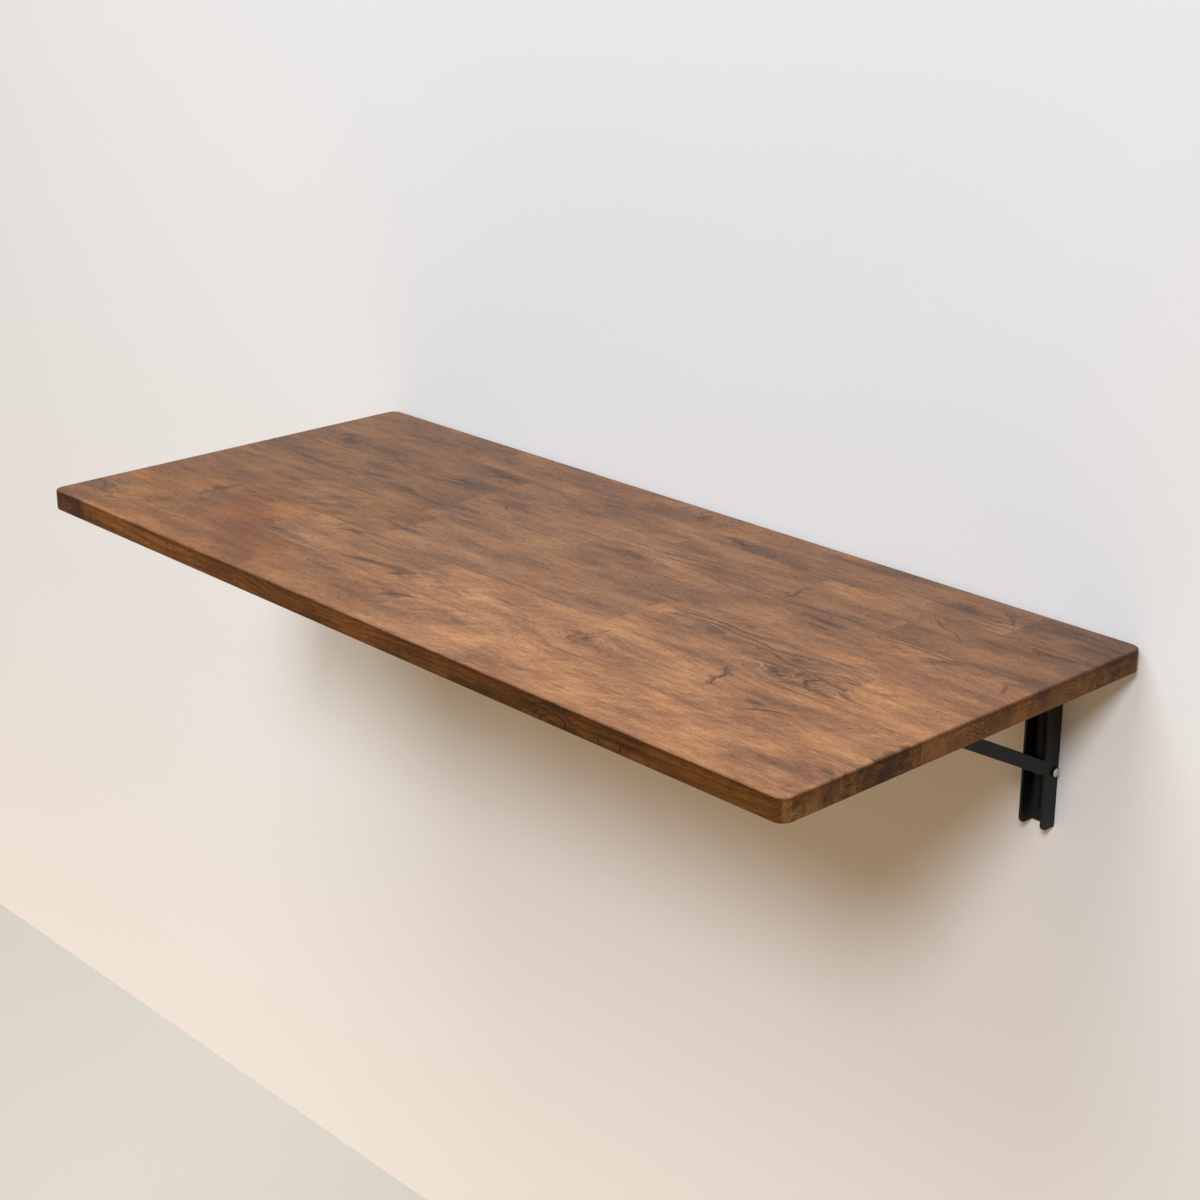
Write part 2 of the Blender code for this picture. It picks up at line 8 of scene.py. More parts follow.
import bmesh
import bpy
import numpy as np
from mathutils import Matrix, Vector, noise


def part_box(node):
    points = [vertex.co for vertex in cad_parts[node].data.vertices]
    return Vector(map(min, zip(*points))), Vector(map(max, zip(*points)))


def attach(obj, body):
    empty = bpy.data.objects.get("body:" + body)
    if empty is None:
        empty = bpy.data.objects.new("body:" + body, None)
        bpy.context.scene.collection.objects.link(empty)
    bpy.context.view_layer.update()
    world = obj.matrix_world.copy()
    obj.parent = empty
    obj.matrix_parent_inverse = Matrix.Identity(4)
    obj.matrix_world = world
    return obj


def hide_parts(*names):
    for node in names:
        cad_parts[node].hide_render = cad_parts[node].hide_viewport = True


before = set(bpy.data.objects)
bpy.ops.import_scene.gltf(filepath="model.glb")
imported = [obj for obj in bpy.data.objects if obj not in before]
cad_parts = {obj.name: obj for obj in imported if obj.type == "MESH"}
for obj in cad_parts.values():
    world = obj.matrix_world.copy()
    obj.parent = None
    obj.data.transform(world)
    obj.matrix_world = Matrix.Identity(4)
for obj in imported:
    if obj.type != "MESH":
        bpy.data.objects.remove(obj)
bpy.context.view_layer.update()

# Camera, solved from the photograph's straight edges
CAMERA_PLACE = (1.3455, -1.3837, 0.6215)
CAMERA_TURN = (69.838, 0, 47.212)
CAMERA_LENS = 68.03
CAMERA_SENSOR = 36

# Room round the bench, which fades into the surround between two distances from the origin
FLOOR_Z = -0.958
WALL_Y = 0.0003
ROOM_REACH = 8
FADE = (1.9, 4.5)
WALL_COLOUR = (239, 241, 244)
FLOOR_COLOUR = (240, 233, 221)
SURROUND = (231, 230, 228)

# Lamps: kind, place, target, power, tint and shape. The bounce lies under the floor, which casts no shadow,
# and the last one stands behind the wall for views of the back.
LAMPS = {
    "key": ("SUN", (2.1, -3.8, 3.1), (0, -0.2, 0), 1.75, (0.985, 1.015, 1.07), {"angle": math.radians(14)}),
    "overhead": ("AREA", (-0.1, -1.5, 2.4), (-0.1, -0.3, 0), 48, (0.98, 0.99, 1),
                 {"shape": "DISK", "size": 2}),
    "bounce": ("AREA", (0, -0.8, FLOOR_Z - 0.4), (0, -0.8, 0), 29, (1, 0.61, 0.27),
               {"shape": "RECTANGLE", "size": 6, "size_y": 1.4}),
    "behind": ("AREA", (0, 2.2, -0.25), (0, 0, -0.25), 30, (1, 1, 1), {"shape": "DISK", "size": 1.2}),
}
WORLD_TINT = (1, 0.9, 0.7, 1)
WORLD_STRENGTH = 0.15

# Worktop: rounding of its corners and edges, and fineness of its mesh
CORNER_R = 0.01
EASE, EASE_STEPS, SIDE_STEPS = 0.0018, 4, 4
GRID_ALONG, GRID_ACROSS, GRID_CORNER = 0.006, 0.004, 0.0017
# Where the look of the sawn ends begins and the length it takes over in, and a slack for comparing heights
END_START, END_SPAN, SLACK = 0.004, 0.003, 1e-5

# Staves from the wall outwards: width, joints from the left end, tone and warmth of each length
STAVES = (
    (0.059, (0.209, 0.548, 0.624, 0.823), ((0.76, 0.3), (0.85, 0.3), (0.87, 0.3), (0.87, 0.3), (0.67, 0.3))),
    (0.066, (0.284, 0.499, 0.653, 0.761), ((0.74, 0.3), (0.9, 0.3), (0.92, 0.3), (0.95, 0.4), (0.79, 0.4))),
    (0.067, (0.284, 0.45, 0.686, 0.764), ((0.68, 0.4), (0.95, 0.3), (0.97, 0.3), (1.11, 0.4), (1.16, 0.5))),
    (0.068, (0.31, 0.597, 0.822), ((0.72, 0.6), (0.98, 0.3), (1.16, 0.4), (1.31, 0.5))),
    (0.066, (0.111, 0.222, 0.411, 0.738), ((0.79, 0.9), (0.83, 1), (0.98, 0.5), (1.17, 0.4), (1.34, 0.5))),
    (0.072, (0.049, 0.291, 0.45, 0.575), ((0.8, 0.7), (0.89, 1), (1.01, 0.7), (1.19, 0.4), (1.34, 0.5))),
)
TOP_LEFT, TOP_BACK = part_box("bench_top")[0].x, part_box("bench_top")[1].y
STAVE_EDGES = [TOP_BACK - sum(stave[0] for stave in STAVES[:k]) for k in range(len(STAVES) + 1)]


def metres(marks):
    """Marks on the worktop, whose first four numbers are written in millimetres."""
    return [(*(value / 1000 for value in mark[:4]), *mark[4:]) for mark in marks]


# Dark patches: from the left end, from the wall edge, half length, half width, turn in degrees, strength
PATCHES = metres((
    (56, 101, 20, 7, 30, 0.65), (140, 107, 26, 6, 10, 0.55), (250, 66, 42, 5, 4, 0.4),
    (466, 20, 7, 18, -30, 0.6), (545, 49, 24, 6, 12, 0.75), (652, 106, 4, 14, 0, 0.6),
    (800, 22, 26, 8, -25, 0.5), (885, 66, 32, 5, -12, 0.6), (488, 138, 34, 10, 0, 0.55),
    (180, 160, 110, 12, 0, 0.45), (240, 150, 50, 10, 0, 0.4), (716, 139, 22, 10, 0, 0.6),
    (312, 228, 22, 9, 0, 0.5), (104, 290, 7, 26, -6, 0.6), (237, 312, 26, 10, 0, 0.5),
    (290, 269, 20, 6, 8, 0.7), (345, 272, 70, 6, 0, 0.45), (396, 304, 26, 9, 0, 0.65),
    (365, 302, 50, 13, 0, 0.45), (512, 286, 14, 4, 0, 0.6), (612, 297, 22, 20, 0, 0.5),
    (737, 277, 4, 20, -8, 0.65), (803, 297, 26, 4, 22, 0.6), (22, 358, 30, 18, 0, 0.5),
    (434, 341, 30, 8, 20, 0.55), (345, 338, 65, 6, 0, 0.35), (763, 236, 14, 5, -20, 0.8),
    (905, 350, 8, 30, 0, 0.35), (765, 71, 26, 4, -38, 0.5), (120, 222, 60, 10, 0, 0.35),
    (640, 20, 70, 10, 0, 0.35), (880, 30, 40, 20, 0, 0.4), (60, 50, 60, 16, 0, 0.35),
    (20, 190, 20, 30, 0, 0.45), (24, 404, 24, 6, 0, 0.9), (720, 405, 40, 6, 0, 0.8),
    (780, 405, 20, 6, 0, 0.7), (660, 407, 220, 6, 0, 0.65), (918, 294, 5, 24, 0, 1),
    (918, 335, 5, 5, 0, 0.9), (918, 386, 5, 3, 0, 0.9), (918, 24, 5, 26, 0, 0.6),
    (140, 271, 36, 6, 12, 0.6),
))
# Places where the growth rings show as dark lines: as above, without the turn
LINES = metres((
    (228, 112, 60, 11, 1), (140, 106, 24, 10, 0.8), (130, 30, 100, 28, 0.35), (548, 110, 60, 16, 0.7),
    (690, 206, 85, 14, 0.9), (560, 210, 50, 10, 0.5), (540, 148, 100, 12, 0.6), (820, 135, 80, 12, 0.6),
    (815, 34, 80, 14, 0.6), (735, 112, 85, 12, 0.5), (250, 68, 45, 8, 0.9), (790, 238, 45, 22, 0.9),
    (600, 30, 60, 12, 0.45), (400, 320, 60, 12, 0.45), (110, 350, 90, 12, 0.4), (20, 355, 26, 16, 0.9),
    (730, 404, 60, 8, 0.9), (918, 190, 6, 60, 0.6),
))
# Single dark strokes: as the patches, with the bow of their ends before the strength. Neighbours
# stand next to each other, because every third one shares a layer.
STROKES = metres((
    (55, 100, 14, 1.6, 45, 0, 0.8), (140, 105, 15, 1.3, 18, 0.1, 0.75), (152, 112, 12, 1.2, 12, 0, 0.7),
    (255, 64, 28, 1, 3, 0, 0.7), (262, 71, 22, 1.1, 5, 0.05, 0.75), (245, 108, 40, 1.1, -4, 0.08, 0.8),
    (232, 117, 36, 1.2, -6, 0.06, 0.8), (325, 131, 4, 1, 40, 0, 0.9), (462, 19, 13, 1.6, 58, 0.2, 0.8),
    (540, 46, 12, 2.5, 20, 0.3, 0.85), (530, 108, 36, 0.9, -8, 0.2, 0.6),
    (590, 128, 30, 0.9, 12, 0.1, 0.55), (655, 107, 15, 1.3, 85, 0.15, 0.8),
    (708, 119, 45, 1, -1, 0, 0.75), (790, 80, 32, 0.9, 30, -0.15, 0.65),
    (808, 131, 47, 1.1, -1, 0.02, 0.7), (812, 26, 18, 1.3, 40, 0.25, 0.65),
    (887, 66, 22, 2, -14, 0.1, 0.75), (895, 145, 12, 1.6, 60, 0.2, 0.6), (680, 196, 80, 1, -2, 0.03, 0.8),
    (690, 204, 70, 1, 3, 0, 0.75), (733, 214, 36, 1.1, 7, 0.05, 0.7), (757, 238, 11, 3, 25, 0.3, 0.9),
    (776, 250, 10, 1.6, -20, 0.3, 0.8), (791, 237, 14, 1.8, 75, -0.5, 0.9),
    (738, 278, 20, 1.3, 80, 0.25, 0.9), (808, 296, 19, 1.6, -25, 0.35, 0.8),
    (612, 292, 24, 1.3, 88, 0, 0.6), (510, 287, 9, 1.4, -3, 0, 0.85), (402, 309, 11, 3, -40, 0.1, 0.85),
    (285, 269, 13, 2.8, -15, 0.4, 0.9), (322, 263, 36, 1.1, 2, 0, 0.65),
    (442, 340, 18, 2.6, -30, 0.2, 0.8), (105, 288, 26, 2, 86, 0.05, 0.75),
    (20, 351, 16, 1.5, 25, 0.35, 0.85), (20, 367, 14, 1.3, -30, -0.2, 0.8),
    (120, 362, 50, 0.9, -4, 0.05, 0.5), (40, 399, 20, 3, 0, 0, 0.8),
))
STROKE_LAYERS = 3
STROKE_REACH, STROKE_FADE = 0.012, 0.3
# Pale cross figure: as the patches
PALES = metres((
    (205, 222, 50, 22, 35, 0.85), (205, 250, 20, 30, 20, 0.6), (548, 352, 30, 22, 40, 0.55),
    (468, 352, 20, 20, 0, 0.45), (470, 296, 55, 12, 0, 0.6), (835, 45, 30, 9, -10, 0.55),
    (810, 145, 25, 10, 0, 0.55), (815, 215, 60, 10, 0, 0.5), (120, 268, 30, 8, 0, 0.45),
    (70, 345, 30, 16, 0, 0.45), (920, 368, 5, 22, 0, 1.6), (700, 352, 120, 20, 0, 0.35),
    (640, 270, 80, 8, 0, 0.4), (860, 272, 40, 10, 0, 0.4), (180, 406, 120, 6, 0, 0.9),
))
# One broad reddish streak
(RED,) = metres(((205, 320, 88, 16, 36, 1),))
# Swirls on the long sides: from the left end, under the top face, half length, half height
SWIRLS = metres(((24, 9, 28, 13), (688, 17, 44, 22), (752, 13, 22, 12)))
# Knots the grain flows round: from the left end, from the wall edge, half length, half width
KNOTS = metres(((777, 238, 21, 13), (20, 360, 20, 13), (458, 14, 16, 10), (612, 299, 13, 14),
                (56, 101, 12, 10)))

# How far marks wander along and across the grain, how often in a metre, and on which layers of noise
DRIFT, DRIFT_RATE, DRIFT_LAYERS = (0.006, 0.004), (40, 90), (3.5, 9.5)
# How steeply a mark fades outwards
FALLOFF = 0.45
# Grain pushed aside by patches (a length) and knots (a share of their width), and how many sizes away
PATCH_BEND, PATCH_REACH = 0.006, 1.8
KNOT_BEND, KNOT_REACH = 0.9, 2
BLOCK_SEED = 7

# Layers of the grain: how often each changes in a metre along and across it, detail and roughness
GRAIN = {
    "blot": (55, 190, 4, 0.6), "cloud": (9, 26, 3, 0.55), "smoke": (16, 120, 3, 0.6),
    "fibre": (24, 560, 3, 0.65), "hair": (85, 1700, 2, 0.6), "speck": (420, 2400, 1, 0.6),
}
# How much each layer lightens the stain; the wiped one ignores the joints, and the figure lies askew
LIGHTENS = {"cloud": 0.38, "wiped": 0.46, "smoke": -0.26, "blot": 0.15, "fibre": 0.28, "hair": 0.34,
            "speck": 0.34, "figure": 0.09}
FIGURE_TURN = 0.9
GRAIN_SWAY = (0, 0.022, 0.045)
# The stain from its darkest to its palest, and the colours laid over it
STAIN = ((0.1, (60, 41, 33)), (0.37, (116, 82, 61)), (0.53, (157, 113, 82)), (0.82, (214, 160, 114)))
COOL_TINT, WARM_TINT = (243, 247, 255), (255, 237, 198)
RED_COLOUR, SOOT_COLOUR, RIM_COLOUR = (116, 62, 31), (55, 39, 32), (66, 40, 26)
# How much of the soot colour each kind of mark takes on at most
SOOT = {"streak": 0.66, "ring": 0.64, "smoke": 0.3, "stroke": 0.9, "knot": 0.75, "swirl": 0.85}
# Rings in a knot and in a swirl: how close they lie and how unevenly
KNOT_RINGS, SWIRL_RINGS = (11, 0.016), (34, 0.006)
# Farther than any mark reaches
FAR_OFF = 9

# How much darker the stain lies on the long sides and on the sawn ends; on the long sides it is partly
# painted shade
SIDE_STAIN_AND_SHADE = (0.415, 0.305, 0.122, 1)
END_TINT = (0.5, 0.495, 0.35, 1)
# Tones of the blocks on the long sides, each with its end from the left, and of the staves' sawn ends
SIDE_BLOCKS = ((0.058, 1.06), (0.19, 1.15), (0.485, 1.22), (0.655, 0.97), (0.765, 1), (1, 1.02))
END_TONES = (0.92, 1.12, 1.2, 1.3, 0.86, 1.1)

# Bare and plated metals: name, dark and pale tone, roughness, tool marks in a metre
RIVET_STEEL = ("bare_rivet_steel", (150, 147, 143), (214, 211, 206), 0.3, 900)
ZINC_PLATE = ("zinc_plate", (150, 148, 140), (205, 203, 193), 0.36, 700)
SPRING_STEEL = ("spring_wire", (92, 90, 88), (160, 158, 154), 0.28, 1200)

# Screws: shank and head radius, head height, length under the head and its plain part
WALL_SCREW = {"shank": 0.00225, "head_r": 0.0043, "head": 0.0028, "length": 0.046, "plain": 0.01}
ARM_SCREW = {"shank": 0.00175, "head_r": 0.0034, "head": 0.0022, "length": 0.0155, "plain": 0.0022}
# Point as a share of the screw's length; core, neck and pitch as shares of its shank radius
SCREW_POINT, SCREW_CORE, SCREW_NECK, SCREW_PITCH = 0.22, 0.68, 0.9, 0.85
# Thread: foot as a share of the core, least height as a share of the full one, corners along the pitch
RIDGE_FOOT, RIDGE_LEAST, RIDGE_CORNERS = 0.8, 0.1, (0, 0.38, 0.48, 0.86)
# Cross recess: reach and half width in head radii, floor in head heights, narrowing
RECESS_REACH, RECESS_HALF, RECESS_FLOOR, RECESS_NARROWING = 0.55, 0.13, 0.28, 0.45
# Straight rim of a screw head, in head heights
HEAD_RIM = 0.36

# Rivets and pins with heads: body, shank radius, head height in CAD
RIVETS = {"fold_rivet": ("wall_frame", 0.0032, 0.0018), "brace_rivet": ("wall_frame", 0.0025, 0.0017),
          "lever_pin": ("leaf", 0.002, 0.0012)}
# Height of a hammered rivet end, as a share of the CAD head
CROWN = 0.6
BUSH_BORE, WASHER_BORE = 0.0035, 0.0028

# Fineness of round pieces
TURNED_SIDES, THREAD_SIDES, WIRE_SIDES, COIL_STEPS, DOME_STEPS = 32, 20, 10, 24, 7

# Torsion spring round the lever pin; its legs' ends are given behind and above the pin
SPRING_R = 0.003
SPRING_WIRE_R = 0.00045
SPRING_TURNS = 4
SPRING_HALF = 0.00272
SPRING_LEGS = ((0.014, -0.00175), (-0.014, 0.00445))

# Sheet steel: rounding of bends and of cut edges, widest cut edge and shortest bend
BEND_R, BEND_STEPS = 0.0013, 4
CUT_R, CUT_STEPS = 0.00032, 2
THIN = 0.0026
BEND_LEAST = 0.1
# Faces of the CAD mesh within the first angle are one; edges past the second are sharp, of wire the third
FLAT, SHARP, WIRE_SHARP = math.radians(0.5), math.radians(38), math.radians(60)
# Points of the CAD mesh nearer than the first length are one; faces narrower than the second are empty
SAME_POINT, EMPTY = 2e-6, 1e-6


def colour(red, green, blue):
    """A written screen colour, 0 to 255, as the linear colour that a shader takes."""
    parts = [c / 255 for c in (red, green, blue)]
    return (*[c / 12.92 if c <= 0.04045 else ((c + 0.055) / 1.055) ** 2.4 for c in parts], 1)


class Nodes:
    """Short calls for building the node tree of a material or of the world."""

    def __init__(self, owner):
        owner.use_nodes = True
        self.owner, self.tree = owner, owner.node_tree
        self.tree.nodes.clear()

    def add(self, kind, inputs=(), **settings):
        node = self.tree.nodes.new(f"ShaderNode{kind}")
        for key, value in settings.items():
            setattr(node, key, value)
        for key, value in dict(inputs).items():
            self.feed(node.inputs[key], value)
        return node

    def feed(self, socket, value):
        if isinstance(value, bpy.types.NodeSocket):
            self.tree.links.new(value, socket)
        else:
            socket.default_value = value

    def place(self):
        return self.add("TexCoord").outputs["Object"]

    def attribute(self, name, output="Vector"):
        return self.add("Attribute", attribute_name=name).outputs[output]

    def split(self, vector):
        return self.add("SeparateXYZ", {0: vector}).outputs

    def join(self, x, y, z):
        return self.add("CombineXYZ", {0: x, 1: y, 2: z}).outputs[0]

    def vector(self, operation, a, b):
        return self.add("VectorMath", {0: a, 1: b}, operation=operation).outputs[0]

    def length(self, a):
        return self.add("VectorMath", {0: a}, operation="LENGTH").outputs["Value"]

    def math(self, operation, a, b=0, clamp=False):
        return self.add("Math", {0: a, 1: b}, operation=operation, use_clamp=clamp).outputs[0]

    def times(self, a, b):
        return self.math("MULTIPLY", a, b)

    def most(self, a, b):
        return self.math("MAXIMUM", a, b)

    def range(self, value, low, high, to_low=0, to_high=1, smooth=False):
        inputs = {"Value": value, "From Min": low, "From Max": high, "To Min": to_low, "To Max": to_high}
        kind = "SMOOTHSTEP" if smooth else "LINEAR"
        return self.add("MapRange", inputs, interpolation_type=kind).outputs["Result"]

    def noise(self, vector, stretch, detail=2, roughness=0.5, output="Fac"):
        """A noise; stretch is how often it changes in a metre, one number or one for each axis."""
        if isinstance(stretch, (int, float)):
            stretch = (stretch, stretch, stretch)
        inputs = {"Vector": self.vector("MULTIPLY", vector, stretch), "Scale": 1, "Detail": detail,
                  "Roughness": roughness}
        return self.add("TexNoise", inputs).outputs[output]

    def wander(self, place, stretch, reach):
        """Places moved about by a noise, at most by half the reach on each axis."""
        shift = self.vector("SUBTRACT", self.noise(place, stretch, output="Color"), (0.5, 0.5, 0.5))
        return self.vector("ADD", place, self.vector("MULTIPLY", shift, reach))

    def ramp(self, value, *stops):
        node = self.add("ValToRGB", {0: value})
        points = node.color_ramp.elements
        while len(points) < len(stops):
            points.new(1)
        for point, (at, tint) in zip(points, stops):
            point.position, point.color = at, tint
        return node.outputs["Color"]

    def mix(self, share, a, b, blend="MIX"):
        node = self.add("Mix", data_type="RGBA", blend_type=blend)
        for key, value in ((0, share), (6, a), (7, b)):
            self.feed(node.inputs[key], value)
        return node.outputs[2]

    def weighted(self, start, *terms):
        """start plus each (value, weight), the value counted from its middle, 0.5."""
        total = start
        for value, weight in terms:
            total = self.math("ADD", total, self.times(self.math("SUBTRACT", value, 0.5), weight))
        return total

    def bump(self, height, strength, distance):
        inputs = {"Height": height, "Strength": strength, "Distance": distance}
        return self.add("Bump", inputs).outputs[0]

    def finish(self, **inputs):
        """Ends the tree in one Principled shader; spaces in socket names are written as underscores."""
        named = {key.replace("_", " "): value for key, value in inputs.items()}
        shader = self.add("BsdfPrincipled", named)
        self.add("OutputMaterial", {"Surface": shader.outputs[0]})
        return self.owner

    def shader(self, kind, inputs=()):
        return self.add(kind, inputs).outputs[0]

    def either(self, share, a, b):
        """One shader faded into another."""
        return self.add("MixShader", {0: share, 1: a, 2: b}).outputs[0]

    def backdrop_rays(self):
        """1 for what the camera sees, also by reflection or through something clear."""
        path = self.add("LightPath").outputs
        mirrored = self.most(path["Is Glossy Ray"], path["Is Transmission Ray"])
        return self.most(path["Is Camera Ray"], mirrored)


def material_nodes(name):
    return Nodes(bpy.data.materials.new(name))


def wood_flow(n, place, bend):
    """Places carried along with the grain: moved for each block, bent round the marks and swaying."""
    grain = n.vector("ADD", n.vector("ADD", place, n.attribute("block_shift")), n.join(0, bend, 0))
    return n.wander(grain, (3, 13, 13), GRAIN_SWAY)


def wood_layers(n, place, flow):
    """The layers of the grain by name, each from 0 to 1."""
    layers = {}
    for name, (along, across, detail, roughness) in GRAIN.items():
        layers[name] = n.noise(flow, (along, across, across), detail, roughness)
    layers["wiped"] = n.noise(place, (10, 34, 34), 3, 0.55)
    askew = n.add("VectorRotate", {0: flow, "Angle": FIGURE_TURN}, rotation_type="Z_AXIS")
    layers["figure"] = n.noise(askew.outputs[0], (150, 24, 24))
    layers["pore"] = n.range(n.noise(flow, (190, 1500, 1500), 0), 0.6, 0.72)
    return layers


def late_wood(n, flow):
    """The dark part of each growth ring, from 0 to 1."""
    inputs = {"Vector": n.vector("MULTIPLY", flow, (0.12, 1, 1)), "Scale": 90, "Distortion": 3,
              "Detail": 2.5, "Detail Scale": 0.5}
    wave = n.add("TexWave", inputs, wave_type="RINGS", rings_direction="X", wave_profile="SAW")
    return n.range(wave.outputs["Fac"], 0.45, 0.97, smooth=True)


def rings_shown(n, flow, lined, side, ring_share):
    """How much of the growth rings is seen: a little by chance, all of it where lines are written."""
    shown = n.range(n.noise(flow, (5, 17, 17), 1), 0.42, 0.66, 0, 0.4)
    shown = n.most(n.times(shown, ring_share), n.times(side, 0.6))
    taper = n.noise(flow, (8, 240, 240), 1)
    drawn = n.range(n.weighted(lined, (taper, 1.1)), 0.38, 0.72)
    drawn = n.times(drawn, n.range(lined, 0.05, 0.3))
    return n.most(shown, drawn)


def stain_colour(n, layers, pale, warmth, tone, red):
    """The stain before the dark marks."""
    light = n.weighted(0.5, *((layers[name], weight) for name, weight in LIGHTENS.items()))
    gleam = n.range(n.weighted(layers["figure"], (layers["fibre"], 0.5)), 0.35, 0.65, 0.03, 0.22)
    light = n.math("ADD", light, n.times(pale, gleam))
    light = n.math("SUBTRACT", light, n.times(layers["pore"], 0.1))
    stain = n.ramp(light, *((at, colour(*tint)) for at, tint in STAIN))
    stain = n.mix(1, stain, n.mix(warmth, colour(*COOL_TINT), colour(*WARM_TINT)), "MULTIPLY")
    stain = n.mix(1, stain, n.join(tone, tone, tone), "MULTIPLY")
    broken = n.range(n.weighted(layers["fibre"], (layers["smoke"], 0.6)), 0.3, 0.7, 0.3, 0.85)
    return n.mix(n.times(red, broken), stain, colour(*RED_COLOUR))


def soot_share(n, place, layers, dark, ring, side):
    """How much of the soot colour lies over the stain: the strongest of all dark marks at a place."""
    streak = n.weighted(dark, (layers["smoke"], 2.2), (layers["fibre"], 1), (layers["hair"], 0.5))
    streak = n.times(n.range(streak, 0.3, 0.85, smooth=True), n.range(dark, 0.03, 0.25))
    knots = [((TOP_LEFT + u, TOP_BACK - v, 0), (1 / a, 1 / b, 0)) for u, v, a, b in KNOTS]
    swirls = [((TOP_LEFT + u, 0, -drop), (1 / a, 0, 1 / b)) for u, drop, a, b in SWIRLS]
    marks = {"streak": streak, "ring": ring, "smoke": n.range(layers["smoke"], 0.6, 0.84),
             "stroke": strokes(n, place), "knot": knot_rings(n, place, knots, *KNOT_RINGS),
             "swirl": n.times(knot_rings(n, place, swirls, *SWIRL_RINGS), side)}
    soot = glue_lines(n, place)
    for name, share in SOOT.items():
        soot = n.most(soot, n.times(marks[name], share))
    return soot


def walnut_material():
    """Stained hardwood: grain and growth rings through the thickness, one tone for each glued length."""
    n = material_nodes("walnut_stain")
    place = n.place()
    tone, warmth, ring_share = n.split(n.attribute("block_finish"))
    dark, lined, pale = n.split(n.attribute("marks"))
    bend, red, _ = n.split(n.attribute("flow"))
    rim, end, side = n.split(n.attribute("rim"))
    flow = wood_flow(n, place, bend)
    layers = wood_layers(n, place, flow)
    late = late_wood(n, flow)
    ring = n.times(late, rings_shown(n, flow, lined, side, ring_share))
    edge = n.most(side, end)

    tone = n.range(edge, 0, 1, tone, n.attribute("edge_tone", "Fac"))
    warmth = n.times(warmth, n.range(side, 0, 1, 1, 0.3))
    stain = stain_colour(n, layers, pale, warmth, tone, red)
    stain = n.mix(soot_share(n, place, layers, dark, ring, side), stain, colour(*SOOT_COLOUR))
    stain = n.mix(n.times(n.range(rim, 0.2, 1), 0.4), stain, colour(*RIM_COLOUR))
    # Long sides darkened: partly darker stain, partly painted shade of faces turned from the light
    stain = n.mix(side, stain, SIDE_STAIN_AND_SHADE, "MULTIPLY")
    stain = n.mix(n.times(end, n.range(late, 0, 1, 0.72, 1)), stain, END_TINT, "MULTIPLY")

    fibre, hair, pore = layers["fibre"], layers["hair"], layers["pore"]
    gloss = n.range(edge, 0, 1, 0.25, 0.07)
    rough = n.weighted(0.48, (fibre, 0.25), (layers["cloud"], 0.12))
    rough = n.math("ADD", rough, n.times(pore, 0.12), clamp=True)
    height = n.weighted(0.5, (fibre, 0.5), (hair, 0.35))
    height = n.math("SUBTRACT", height, n.times(pore, 0.5))
    return n.finish(Base_Color=stain, Roughness=rough, Specular_IOR_Level=gloss,
                    Normal=n.bump(height, 0.35, 0.00025))


def knot_rings(n, place, knots, closeness, unrest):
    """Uneven dark rings inside each knot, from 0 to 1; a knot is a middle and how it counts each axis."""
    spot = n.wander(place, 70, (unrest, unrest, unrest))
    nearest = FAR_OFF
    for middle, counted in knots:
        reach = n.length(n.vector("MULTIPLY", n.vector("SUBTRACT", spot, middle), counted))
        nearest = n.math("MINIMUM", nearest, reach)
    rings = n.range(n.math("SINE", n.times(nearest, closeness)), 0.1, 0.9)
    broken = n.range(n.noise(place, (110, 160, 110), 1), 0.42, 0.58)
    fade = n.range(nearest, 1.25, 0.55)
    return n.times(n.times(rings, broken), fade)


def strokes(n, place):
    """Single dark strokes, each a thin spindle with uneven edges, from 0 to 1."""
    ragged = n.noise(place, (70, 170, 170), 2)
    total = 0
    for layer in range(STROKE_LAYERS):
        along, across, strength = n.split(n.attribute(f"strokes_{layer}"))
        away = n.math("ABSOLUTE", n.weighted(across, (ragged, 2)))
        away = n.math("ADD", away, n.times(along, along))
        total = n.most(total, n.times(n.range(away, 1.6, 0.7), strength))
    return total


def glue_lines(n, place):
    """Thin broken dark lines where two staves meet."""
    across = n.split(place)[1]
    nearest = FAR_OFF
    for y in STAVE_EDGES[1:-1]:
        nearest = n.math("MINIMUM", nearest, n.math("ABSOLUTE", n.math("SUBTRACT", across, y)))
    broken = n.range(n.noise(place, (14, 40, 0), 2), 0.42, 0.6, 0.05, 0.6)
    return n.times(n.range(nearest, 0.0008, 0.0002), broken)


def coat_material():
    """Black powder coat: fine orange peel, and a little wear on the edges."""
    n = material_nodes("powder_coat")
    place = n.place()
    peel = n.noise(place, 1500, 2, 0.6)
    drift = n.noise(place, 60, 3)
    rubbed = n.range(n.noise(place, 420, 3), 0.5, 0.64)
    worn = n.times(n.attribute("edge", "Fac"), rubbed)
    black = n.mix(drift, colour(15, 15, 16), colour(22, 22, 23))
    black = n.mix(n.times(worn, 0.45), black, colour(70, 69, 68))
    rough = n.weighted(0.46, (peel, 0.22), (drift, 0.15))
    return n.finish(Base_Color=black, Roughness=rough, Specular_IOR_Level=0.16,
                    Normal=n.bump(peel, 0.22, 0.0002))


def steel_material(name, dark, pale, rough, scale):
    """Bare or plated metal: fine tool marks and clouded gloss."""
    n = material_nodes(name)
    place = n.place()
    mark = n.noise(place, (scale, 3 * scale, 3 * scale), 3, 0.6)
    cloud = n.noise(place, 240, 3)
    share = n.range(n.weighted(cloud, (mark, 0.6)), 0.25, 0.75)
    tone = n.mix(share, colour(*dark), colour(*pale))
    gloss = n.weighted(rough, (cloud, 0.25), (mark, 0.18))
    return n.finish(Base_Color=tone, Metallic=1, Roughness=gloss, Normal=n.bump(mark, 0.15, 0.0001))


